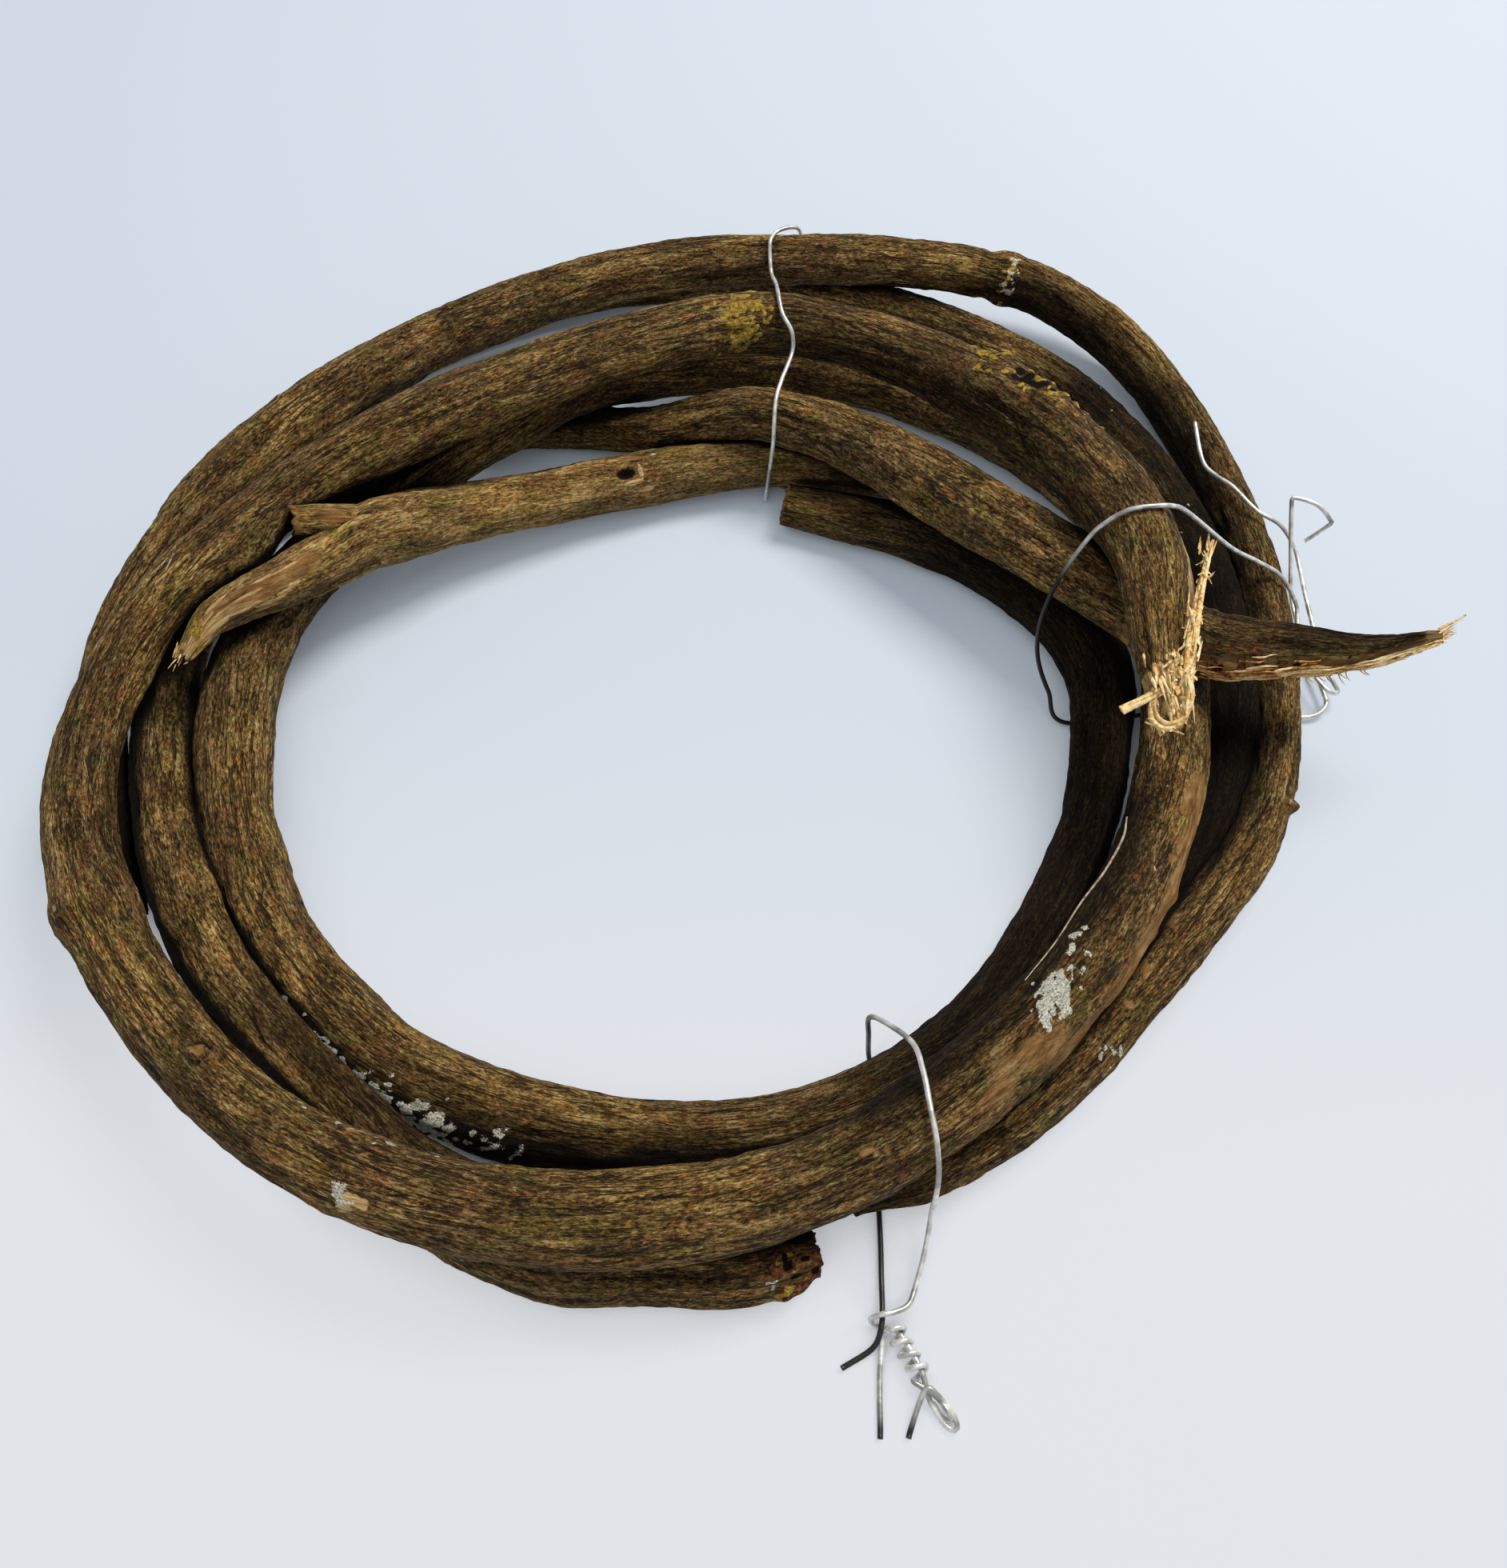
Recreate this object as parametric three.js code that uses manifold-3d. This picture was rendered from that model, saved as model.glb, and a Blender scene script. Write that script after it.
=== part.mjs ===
// A hank of woody vine stems, wound into a flat ring, tied with thin wire in three places,
// with a short forked twig laid across its hole.
//
// Millimetres, +Z up. The ring lies on the floor, z = 0. The split end that sticks out of the
// ring points along +X, and the twisted ends of the front tie lie towards -Y.
import * as THREE from "three";
import { mergeVertices } from "three/addons/utils/BufferGeometryUtils.js";
import Module from "manifold-3d";

const wasm = await Module();
wasm.setup();

// ---- Driving dimensions ----
const WIRE_THICK = 1.1; // the soft binding wire
const GAP = 0.3; // kept between pieces that meet
const STEM_SIDES = 10;
const WIRE_SIDES = 6;
const STEM_STEP = 17; // length of one faceted ring of a stem
const TWIG_STEP = 11;
const WIRE_STEP = 4;
const FINE_STEP = 2; // of a wire that is twisted

// ---- Colours ----
const BARK = { color: 0x6b5434, roughness: 0.9, metalness: 0 };
const DARK_BARK = { color: 0x574229, roughness: 0.92, metalness: 0 };
const TWIG_BARK = { color: 0x7b6440, roughness: 0.88, metalness: 0 };
const STEEL = { color: 0xb9bab4, roughness: 0.35, metalness: 0.9 };

// ---- Routes of the wound stems ----
// A station is [clock angle in degrees, anticlockwise from +X, distance from the ring's axis,
// height of the stem's middle, thickness].

// The long stem, clockwise from its sawn end, over two turns, to its torn end on top.
const LONG_STEM = [
  [67, 58, 6.5, 11],
  [60, 59, 6.5, 12],
  [40, 68, 7, 13.5],
  [20, 82, 7.5, 14],
  [0, 96, 8.7, 14],
  [-20, 100, 8.2, 13.5],
  [-40, 105, 6.4, 14],
  [-60, 114, 8.2, 14],
  [-80, 119, 8, 14],
  [-100, 118, 6.7, 14.5],
  [-120, 119, 7.5, 15.5],
  [-140, 116, 9, 15.5],
  [-160, 110, 13.5, 15.5],
  [-180, 107, 12, 17.5],
  [-200, 101, 11.5, 17],
  [-220, 92, 16, 17],
  [-240, 88, 20.8, 16.5],
  [-250, 92, 20.8, 16.5],
  [-260, 97, 15.5, 17],
  [-280, 106, 10, 17.5],
  [-300, 110, 9, 17.5],
  [-320, 114, 10, 17.5],
  [-340, 117, 11, 16.5],
  [-360, 115, 13.5, 15.5],
  [-380, 115, 17, 16],
  [-400, 118, 21, 16],
  [-420, 125, 22, 17],
  [-440, 134, 20.5, 17.5],
  [-460, 141, 21.5, 16.5],
  [-480, 145, 25, 15.5],
  [-500, 144, 24, 15],
  [-515, 143, 22.5, 15.5],
  [-525, 139, 23, 14],
  [-540, 127, 26, 14],
  [-560, 106, 29, 14],
  [-580, 88, 34, 17],
  [-600, 80, 37, 16.5],
  [-620, 84, 36, 16],
  [-640, 95, 33, 16],
  [-660, 99, 30.5, 16],
  [-680, 98, 34, 18.5],
  [-700, 99, 40, 18.5],
  [-720, 102, 45.5, 16],
  [-740, 107, 44.5, 12],
];

// The split stem, clockwise from its broken knob at the front to where its split end starts.
const SPLIT_STEM = [
  [-79.5, 144, 7, 11],
  [-82, 145, 7.5, 14.5],
  [-85, 145, 6.5, 14],
  [-89, 144.5, 5.5, 12],
  [-100, 146, 6, 13],
  [-108, 143, 7.5, 13],
  [-120, 134, 13, 13],
  [-140, 130, 15, 13.5],
  [-160, 128, 10.5, 13],
  [-180, 129, 7.5, 13],
  [-200, 128, 6.5, 13],
  [-220, 113, 6.5, 12.5],
  [-240, 96, 5.6, 12],
  [-250, 88, 5.8, 11.5],
  [-260, 79, 10, 12],
  [-280, 74, 20.5, 13],
  [-300, 73, 22, 15],
  [-320, 73, 23, 17],
  [-340, 81, 25, 17.5],
  [-355, 95, 28, 17],
];
// The rest of it runs straight out of the ring: [x, y, height, thickness].
const SPLIT_END = [
  [114, -10, 29.5, 15],
  [135, -16, 33.5, 11],
  [154, -18, 36, 5.5],
  [166, -16, 38, 1.6],
];

// The outer stem, anticlockwise from under the front of the ring to under its left side.
const OUTER_STEM = [
  [-76, 137, 7, 11],
  [-60, 133, 8.4, 11.5],
  [-40, 130, 12.5, 12],
  [-20, 137, 10, 11.5],
  [0, 142, 7, 12],
  [20, 151, 5.9, 13],
  [40, 162, 10, 14],
  [52, 162, 15.5, 14],
  [60, 155, 18.5, 13.5],
  [80, 139, 20, 13.5],
  [100, 135, 18, 14.5],
  [120, 131, 16.5, 15.5],
  [140, 129, 18, 15.5],
  [160, 131, 20, 13.5],
  [180, 140, 15.5, 11.5],
  [192, 141.5, 8.5, 11],
  [209, 140, 4.2, 9],
];

// The under stem, anticlockwise, lying on the floor beneath the others.
const UNDER_STEM = [
  [-48, 122, 3.8, 8.5],
  [-20, 127, 6.5, 10],
  [0, 129, 7.5, 10.5],
  [20, 135, 7, 11.5],
  [40, 142, 6.5, 12],
  [60, 143, 6.5, 12],
  [80, 144, 7.6, 12],
  [100, 146, 5.7, 12.5],
  [120, 145, 5.9, 13],
  [140, 144, 6.2, 13.5],
  [160, 146, 5.7, 12.5],
  [180, 145, 4.5, 10],
];

// ---- Routes of the forked twig: [x, y, height, thickness] ----
const TWIG_STEM = [
  [59, 62, 6.5, 12],
  [38, 66, 7, 13],
  [18, 67, 8, 13.5],
  [-2, 64, 8, 14],
  [-22, 58, 9, 14.5],
  [-42, 50, 12, 14.5],
  [-62, 40, 16.5, 15],
  [-80, 28, 22, 16.5],
];
const TWIG_BRANCH = [
  [-81, 27, 22, 15.5],
  [-88, 19, 24, 13.5],
  [-97, 10, 26, 13],
  [-110, -3, 29, 9],
  [-116, -15, 28, 3.5],
];
const TWIG_STUB = [
  [-77, 30, 22.5, 11],
  [-87, 27, 28, 9.5],
  [-97, 24, 32, 6.5],
];

// ---- Routes of the wire ties: [x, y, height] ----
const TOP_TIE = [
  [24, 118, 1],
  [24, 140, 1],
  [25, 148, 1.8],
  [26, 151, 5],
  [27.5, 150, 11],
  [28, 146.5, 20],
  [27, 142.5, 26.4],
  [24, 141, 27.8],
  [20.5, 138.5, 28.1],
  [18.8, 134.7, 27.8],
  [18.8, 130, 24.5],
  [19.2, 126, 23.5],
  [20, 108, 34.5],
  [20.3, 96, 41.6],
  [21.5, 88.6, 40.2],
  [24, 85.2, 37],
  [24.2, 83.2, 32],
  [21.5, 74, 31.4],
  [19.8, 67.4, 30.2],
  [19.3, 62.4, 26],
  [19.1, 61.6, 20],
  [17.8, 58.6, 9],
  [17.3, 59.5, 3],
  [17.5, 63, 1],
  [18.5, 90, 1],
  [18.8, 108, 1],
];

const RIGHT_TIE = [
  [157, 37, 10],
  [161.5, 37, 16],
  [157.5, 40, 20],
  [151.5, 42, 20],
  [152.5, 32, 10],
  [152.5, 22, 4],
  [153, 8, 3.2],
  [154.5, -4, 3],
  [154.5, -10, 2.6],
  [150, -12.5, 1.4],
  [140, -11.5, 1],
  [120, -10, 1],
  [91, -14, 1],
  [86, -8, 6],
  [82.5, -3, 14],
  [82, 0, 24],
  [84.5, 3, 35],
  [89.8, 6.8, 44.5],
  [92.7, 6.7, 49.8],
  [96.7, 7, 53.2],
  [101.8, 7.2, 54.3],
  [107, 8.4, 53],
  [112, 10.5, 48.5],
  [128, 17, 30],
  [139.5, 23, 18],
  [146.5, 22, 13.6],
  [150.7, 16.6, 9],
  [150.4, 8, 6.2],
  [151.5, -1, 6],
  [154, -7.5, 6],
  [157.5, -7, 4.4],
  [157.2, -1, 3.4],
  [155.6, 10, 5],
  [155, 22, 6.5],
  [155.5, 31, 6.5],
  [154.5, 36.5, 8.5],
  [150.5, 40.5, 12.3],
  [144.4, 43.7, 14.3],
  [139.7, 52.1, 14.4],
  [136.6, 56.8, 13.5],
  [134.2, 62.9, 12.9],
  [133.5, 75, 15.2],
];

const FRONT_TIE = [
  [30.5, -161, 0.8],
  [36.5, -157.5, 1.4],
  [38.2, -154, 2.5],
  [38.6, -150.5, 2.3],
  [38.8, -145, 1.1],
  [39, -136, 1],
  [38.8, -118, 1],
  [38.6, -102.5, 1],
  [38.2, -99.6, 3],
  [37.6, -99.2, 12],
  [37, -99.5, 22],
  [39.5, -101.5, 25],
  [44.5, -107, 28],
  [45.8, -113.5, 30.8],
  [46.5, -120, 31.6],
  [47.5, -126.5, 30],
  [48.3, -130.8, 24],
  [48.7, -132.8, 14],
  [48.5, -134, 9],
  [47.3, -140, 4.5],
  [45, -147, 2.8],
  [43.4, -150.2, 3.6],
  [40.6, -151.6, 4.3],
  [38.4, -152, 4.5],
  [36.4, -152.4, 3],
  [37, -153.2, 1],
  [39, -153.8, 0.9],
  [41.2, -154.6, 2.2],
  [43.8, -158.6, 2.8],
  [45.6, -162.5, 2.6],
  [46.3, -166, 1.8],
  [49, -169.8, 1.2],
  [51.6, -171.2, 1.4],
  [52.2, -169.4, 2.4],
  [49.6, -166.6, 3.6],
  [46.6, -165.2, 4.4],
  [44.4, -167.4, 2.6],
  [42.3, -172.6, 0.8],
];

// A second wire, wound round the first where its ends leave the front tie.
const FRONT_LACING_START = [
  [37.3, -173, 0.8],
  [38, -163, 0.9],
  [39.6, -157, 2],
];
const FRONT_LACING_END = [
  [42.2, -162.6, 1.7],
  [39.8, -161.8, 0.8],
];
const LACED_FROM = [41.8, -155.6, 2.5];
const LACED_TO = [45, -161.2, 2.7];
const LACING_RADIUS = 1.75;
const LACING_TURNS = 3;
const POINTS_PER_TURN = 8;

const SHARPEST = 1e-3; // closer than this, two vertices are one

// Turns clock-angle stations into [x, y, height, thickness].
function wound(stations) {
  return stations.map(([angle, distance, height, thick]) => {
    const turn = THREE.MathUtils.degToRad(angle);
    return [distance * Math.cos(turn), distance * Math.sin(turn), height, thick];
  });
}

// A solid of `sides` sides that follows the stations: a straight bar, bent along their curve.
// Bark that would reach below the floor is pressed flat on it.
function bentBar(stations, sides, step) {
  const path = new THREE.CatmullRomCurve3(stations.map(([x, y, z]) => new THREE.Vector3(x, y, z)));
  const girth = new THREE.CatmullRomCurve3(stations.map(([, , , thick]) => new THREE.Vector3(thick)));
  const steps = Math.max(2, Math.round(path.getLength() / step));
  const corners = Array.from({ length: sides }, (_, i) => {
    const turn = ((i + 0.5) / sides) * 2 * Math.PI - Math.PI / 2;
    return new THREE.Vector2(Math.cos(turn), Math.sin(turn));
  });
  const bar = new THREE.ExtrudeGeometry(new THREE.Shape(corners), {
    depth: 1,
    steps,
    bevelEnabled: false,
  });
  const up = new THREE.Vector3(0, 0, 1);
  const place = bar.getAttribute("position");
  for (let i = 0; i < place.count; i++) {
    const along = path.getUtoTmapping(Math.min(1, Math.max(0, place.getZ(i))));
    const ahead = path.getTangent(along);
    const side = up.clone().cross(ahead).normalize();
    const top = ahead.clone().cross(side);
    const radius = girth.getPoint(along).x / 2;
    const spot = path
      .getPoint(along)
      .addScaledVector(side, radius * place.getX(i))
      .addScaledVector(top, radius * place.getY(i));
    place.setXYZ(i, spot.x, spot.y, Math.max(0, spot.z));
  }
  return bar;
}

// The closed solid of a bent bar, with only its corners kept.
function solidOf(geometry) {
  const bare = new THREE.BufferGeometry().setAttribute("position", geometry.getAttribute("position"));
  const merged = mergeVertices(bare, SHARPEST);
  return new wasm.Manifold(
    new wasm.Mesh({
      numProp: 3,
      vertProperties: merged.attributes.position.array,
      triVerts: new Uint32Array(merged.index.array),
    }),
  );
}

function geometryOf(solid) {
  const { vertProperties, triVerts } = solid.getMesh();
  return new THREE.BufferGeometry()
    .setAttribute("position", new THREE.BufferAttribute(vertProperties, 3))
    .setIndex(new THREE.BufferAttribute(triVerts, 1));
}

// The stations of the same bar, larger by the gap on every side and at both ends.
function grown(stations) {
  const beyond = (end, inner) => {
    const tip = new THREE.Vector3(...stations.at(end));
    const ahead = tip.clone().sub(new THREE.Vector3(...stations.at(inner))).normalize();
    return [...tip.addScaledVector(ahead, GAP).toArray(), stations.at(end)[3]];
  };
  const longer = [beyond(0, 1), ...stations.slice(1, -1), beyond(-1, -2)];
  return longer.map(([x, y, z, thick]) => [x, y, z, thick + 2 * GAP]);
}

// The points of a helix round the line from one point to another.
function helix(from, to, radius, turns) {
  const start = new THREE.Vector3(...from);
  const end = new THREE.Vector3(...to);
  const ahead = end.clone().sub(start).normalize();
  const side = new THREE.Vector3(0, 0, 1).cross(ahead).normalize();
  const top = ahead.clone().cross(side);
  const count = Math.round(turns * POINTS_PER_TURN);
  return Array.from({ length: count + 1 }, (_, i) => {
    const turn = (i / POINTS_PER_TURN) * 2 * Math.PI;
    return start
      .clone()
      .lerp(end, i / count)
      .addScaledVector(side, -radius * Math.cos(turn))
      .addScaledVector(top, radius * Math.sin(turn))
      .toArray();
  });
}

function piece(name, geometry, finish) {
  const mesh = new THREE.Mesh(geometry, new THREE.MeshStandardMaterial(finish));
  mesh.name = name;
  return mesh;
}

function stem(name, stations, finish) {
  return piece(name, bentBar(stations, STEM_SIDES, STEM_STEP), finish);
}

function twigBar(stations) {
  return bentBar(stations, STEM_SIDES, TWIG_STEP);
}

// A branch of the twig, cut back where the listed thicker branches run.
function branch(name, stations, ...thicker) {
  const cut = thicker.reduce(
    (solid, other) => solid.subtract(solidOf(twigBar(grown(other)))),
    solidOf(twigBar(stations)),
  );
  return piece(name, geometryOf(cut), TWIG_BARK);
}

function wire(name, points, step = WIRE_STEP) {
  const stations = points.map((point) => [...point, WIRE_THICK]);
  return piece(name, bentBar(stations, WIRE_SIDES, step), STEEL);
}

const lacing = [
  ...FRONT_LACING_START,
  ...helix(LACED_FROM, LACED_TO, LACING_RADIUS, LACING_TURNS),
  ...FRONT_LACING_END,
];

const hank = new THREE.Group();
hank.add(stem("long_stem", wound(LONG_STEM), BARK));
hank.add(stem("split_stem", [...wound(SPLIT_STEM), ...SPLIT_END], BARK));
hank.add(stem("outer_stem", wound(OUTER_STEM), BARK));
hank.add(stem("under_stem", wound(UNDER_STEM), DARK_BARK));
hank.add(piece("twig_stem", twigBar(TWIG_STEM), TWIG_BARK));
hank.add(branch("twig_branch", TWIG_BRANCH, TWIG_STEM));
hank.add(branch("twig_stub", TWIG_STUB, TWIG_STEM, TWIG_BRANCH));
hank.add(wire("top_tie", TOP_TIE));
hank.add(wire("right_tie", RIGHT_TIE));
hank.add(wire("front_tie", FRONT_TIE, FINE_STEP));
hank.add(wire("front_lacing", lacing, FINE_STEP));

// The origin is on the floor, under the middle of the whole hank.
const reach = new THREE.Box3().setFromObject(hank);
const middle = reach.getCenter(new THREE.Vector3());
hank.position.set(-middle.x, -middle.y, -reach.min.z);

export default hank;
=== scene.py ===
"""A hank of woody vine stems, tied with thin wire, with a short forked twig across its hole.

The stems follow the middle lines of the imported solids. Their bark, knots, torn ends and lichen are
mesh and node materials made here, in metres, in the frame's own axes.
"""

import math

import bpy
import numpy as np
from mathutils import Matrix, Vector
from mathutils.bvhtree import BVHTree


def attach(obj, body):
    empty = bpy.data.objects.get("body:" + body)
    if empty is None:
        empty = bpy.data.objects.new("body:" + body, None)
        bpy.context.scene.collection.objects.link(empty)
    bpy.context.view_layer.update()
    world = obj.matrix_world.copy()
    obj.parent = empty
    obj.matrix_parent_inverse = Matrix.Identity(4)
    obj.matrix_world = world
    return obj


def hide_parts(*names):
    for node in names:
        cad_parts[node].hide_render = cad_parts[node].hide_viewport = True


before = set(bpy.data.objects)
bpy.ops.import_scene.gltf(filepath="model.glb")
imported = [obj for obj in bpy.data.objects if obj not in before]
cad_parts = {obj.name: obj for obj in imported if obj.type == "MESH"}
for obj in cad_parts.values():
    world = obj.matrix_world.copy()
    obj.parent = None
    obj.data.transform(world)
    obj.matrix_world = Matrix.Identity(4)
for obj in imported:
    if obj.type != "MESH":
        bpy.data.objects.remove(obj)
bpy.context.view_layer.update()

MM = 0.001
UP = np.array([0.0, 0.0, 1.0])
RING_MIDDLE = np.array([-8.12, 10.67, 0.0])  # where the ring's own axis stands, in mm
FACET_TRIANGLES = 8  # of the ten-sided end face of a stem's solid
WELD = 1e-5  # corners closer than this are one
NEARLY_FLAT = 0.99  # two triangles whose normals are this close lie in one face
ROUND_ENOUGH = 0.15  # an end face's corners are about as far from its middle as each other

# ---- Camera, light and floor ----
LOOK_AT = (14.0, -31.0, 0.0)  # mm from the ring's axis
CAMERA_AWAY = 325.0
CAMERA_RISE = math.radians(58)
LENS = 31.22
FLOOR_HALF = 3.0  # metres
SKY_COLOUR = (0.86, 0.9, 1.0, 1)
SKY_STRENGTH = 0.37
LAMPS = {  # place and size in metres, power in watts, colour
    "window": ((0.62, 0.55, 1.35), 0.62, 25, (1.0, 0.98, 0.95)),
    "fill": ((-0.5, -1.2, 1.3), 1.6, 2.6, (0.95, 0.97, 1.0)),
}

# ---- Fineness of the meshes ----
LONG_STEP = 1.08 * MM
BARK_STEP = 0.8 * MM
LONG_SIDES = 64
BARK_SIDES = 80
FIBRE_SIDES = 6
FIBRE_STEP = 0.6 * MM
TWIG_STEP = 0.55 * MM
TWIG_SIDES = 64
WIRE_RADIUS = 0.55 * MM
WIRE_SIDES = 12
WIRE_STEP = 0.7 * MM


# ---- Lines and noise ----


def spaced(points, step):
    """Points every `step` along the smooth curve through `points`; extra columns ride along."""
    points = np.asarray(points, float)
    before = 2 * points[0] - points[1]
    after = 2 * points[-1] - points[-2]
    knots = np.vstack([before, points, after])
    fine = []
    for a, b, c, d in zip(knots, knots[1:], knots[2:], knots[3:]):
        for t in np.arange(0, 1, 0.05):
            fine.append(
                0.5 * (2 * b + (c - a) * t + (2 * a - 5 * b + 4 * c - d) * t**2)
                + 0.5 * (3 * b - a - 3 * c + d) * t**3
            )
    fine = np.array(fine + [points[-1]])
    run = np.r_[0, np.cumsum(np.linalg.norm(np.diff(fine[:, :3], axis=0), axis=1))]
    count = max(2, round(run[-1] / step))
    stops = np.linspace(0, run[-1], count + 1)
    return np.stack([np.interp(stops, run, column) for column in fine.T], axis=1)


def run_of(line):
    """The distance along a line at each of its points."""
    return np.r_[0, np.cumsum(np.linalg.norm(np.diff(line, axis=0), axis=1))]


def axes_of(line):
    """The directions ahead, to the left and upwards at each point of a line."""
    ahead = np.gradient(line, axis=0)
    ahead /= np.linalg.norm(ahead, axis=1)[:, None]
    left = np.cross(UP, ahead)
    left /= np.linalg.norm(left, axis=1)[:, None]
    return ahead, left, np.cross(ahead, left)


def smooth(t):
    t = np.clip(t, 0, 1)
    return t * t * (3 - 2 * t)


def noise(rng, run, turn, cell, columns, drift=0.0):
    """Seeded noise from -1 to 1 over a stem: `cell` long, `columns` round it, without a seam."""
    lattice = rng.uniform(-1, 1, (int(run.max() / cell) + 3, columns))
    u = (run / cell)[:, None] + 0 * turn[None]
    v = (turn[None] + np.asarray(drift).reshape(-1, 1)) * columns + 0 * u
    i, j = np.floor(u).astype(int), np.floor(v).astype(int)
    f, g = smooth(u - i), smooth(v - j)
    j0, j1 = j % columns, (j + 1) % columns
    near = lattice[i, j0] * (1 - g) + lattice[i, j1] * g
    far = lattice[i + 1, j0] * (1 - g) + lattice[i + 1, j1] * g
    return near * (1 - f) + far * f


def spot(run, turn, girth, at, angle, length, width):
    """1 in the middle of an oval on the bark, fading to 0 at its edge."""
    along = (run[:, None] - at * MM) / (length * MM)
    away = (turn[None] - angle / 360 + 0.5) % 1 - 0.5
    across = away * 2 * math.pi * girth[:, None] / (width * MM)
    return np.exp(-2 * (along**2 + across**2))


# ---- The stems' middle lines ----


def solid_of(node):
    """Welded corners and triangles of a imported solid."""
    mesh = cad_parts[node].data
    mesh.calc_loop_triangles()
    corners = np.array([v.co for v in mesh.vertices])
    keys, first, which = np.unique(
        np.round(corners / WELD).astype(int), axis=0, return_index=True, return_inverse=True
    )
    triangles = np.array([t.vertices for t in mesh.loop_triangles])
    return corners[first], which.reshape(-1)[triangles]


def end_faces(corners, triangles):
    """The corners of each flat end of a stem's solid."""
    a, b, c = (corners[triangles[:, k]] for k in range(3))
    facing = np.cross(b - a, c - a)
    facing /= np.linalg.norm(facing, axis=1)[:, None]
    sides = {}
    for index, triangle in enumerate(triangles):
        for k in range(3):
            edge = tuple(sorted((triangle[k], triangle[(k + 1) % 3])))
            sides.setdefault(edge, []).append(index)
    flat_neighbours = {index: [] for index in range(len(triangles))}
    for pair in sides.values():
        if len(pair) == 2 and facing[pair[0]] @ facing[pair[1]] > NEARLY_FLAT:
            flat_neighbours[pair[0]].append(pair[1])
            flat_neighbours[pair[1]].append(pair[0])
    seen, faces = set(), []
    for index in flat_neighbours:
        if index in seen:
            continue
        patch, queue = [], [index]
        while queue:
            here = queue.pop()
            if here not in seen:
                seen.add(here)
                patch.append(here)
                queue += flat_neighbours[here]
        rim = sorted(set(triangles[patch].reshape(-1)))
        reach = np.linalg.norm(corners[rim] - corners[rim].mean(0), axis=1)
        if len(patch) == FACET_TRIANGLES and reach.std() < ROUND_ENOUGH * reach.mean():
            faces.append(rim)
    return faces


def middle_line(node, start_towards):
    """[x, y, z, radius] of each faceted ring of a stem, from the end that lies towards a direction."""
    corners, triangles = solid_of(node)
    faces = end_faces(corners, triangles)
    first = max(faces, key=lambda face: corners[face][:, :2].mean(0) @ np.array(start_towards))
    neighbours = {index: set() for index in range(len(corners))}
    for triangle in triangles:
        for corner in triangle:
            neighbours[corner].update(triangle)
    ring, seen, rows = set(first), set(first), []
    while ring:
        spots = corners[sorted(ring)]
        middle = spots.mean(0)
        rows.append([*middle, np.linalg.norm(spots - middle, axis=1).max()])
        ring = set().union(*(neighbours[corner] for corner in ring)) - seen
        seen |= ring
    return np.array(rows)


# ---- Meshes ----


def mesh_piece(name, corners, faces, material, numbers=None):
    """A mesh object from arrays, with `numbers` stored for each corner."""
    mesh = bpy.data.meshes.new(name)
    mesh.from_pydata([tuple(c) for c in corners], [], [tuple(f) for f in faces])
    mesh.polygons.foreach_set("use_smooth", [True] * len(mesh.polygons))
    for key, values in (numbers or {}).items():
        values = np.asarray(values, np.float32)
        kind, field = ("FLOAT_VECTOR", "vector") if values.ndim == 2 else ("FLOAT", "value")
        mesh.attributes.new(key, kind, "POINT").data.foreach_set(field, values.reshape(-1))
    mesh.materials.append(material)
    mesh.update()
    made = bpy.data.objects.new(name, mesh)
    bpy.context.scene.collection.objects.link(made)
    return made


def ring_faces(rows, sides):
    """Quads between the rings of a tube, facing out."""
    i, j = np.meshgrid(np.arange(rows - 1), np.arange(sides), indexing="ij")
    k = (j + 1) % sides
    quads = np.stack([i * sides + j, (i + 1) * sides + j, (i + 1) * sides + k, i * sides + k], axis=-1)
    return quads.reshape(-1, 4)


MASKS = ("lichen", "moss", "rubbed", "bare", "rust", "dark", "shade", "crevice_shade")


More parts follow.
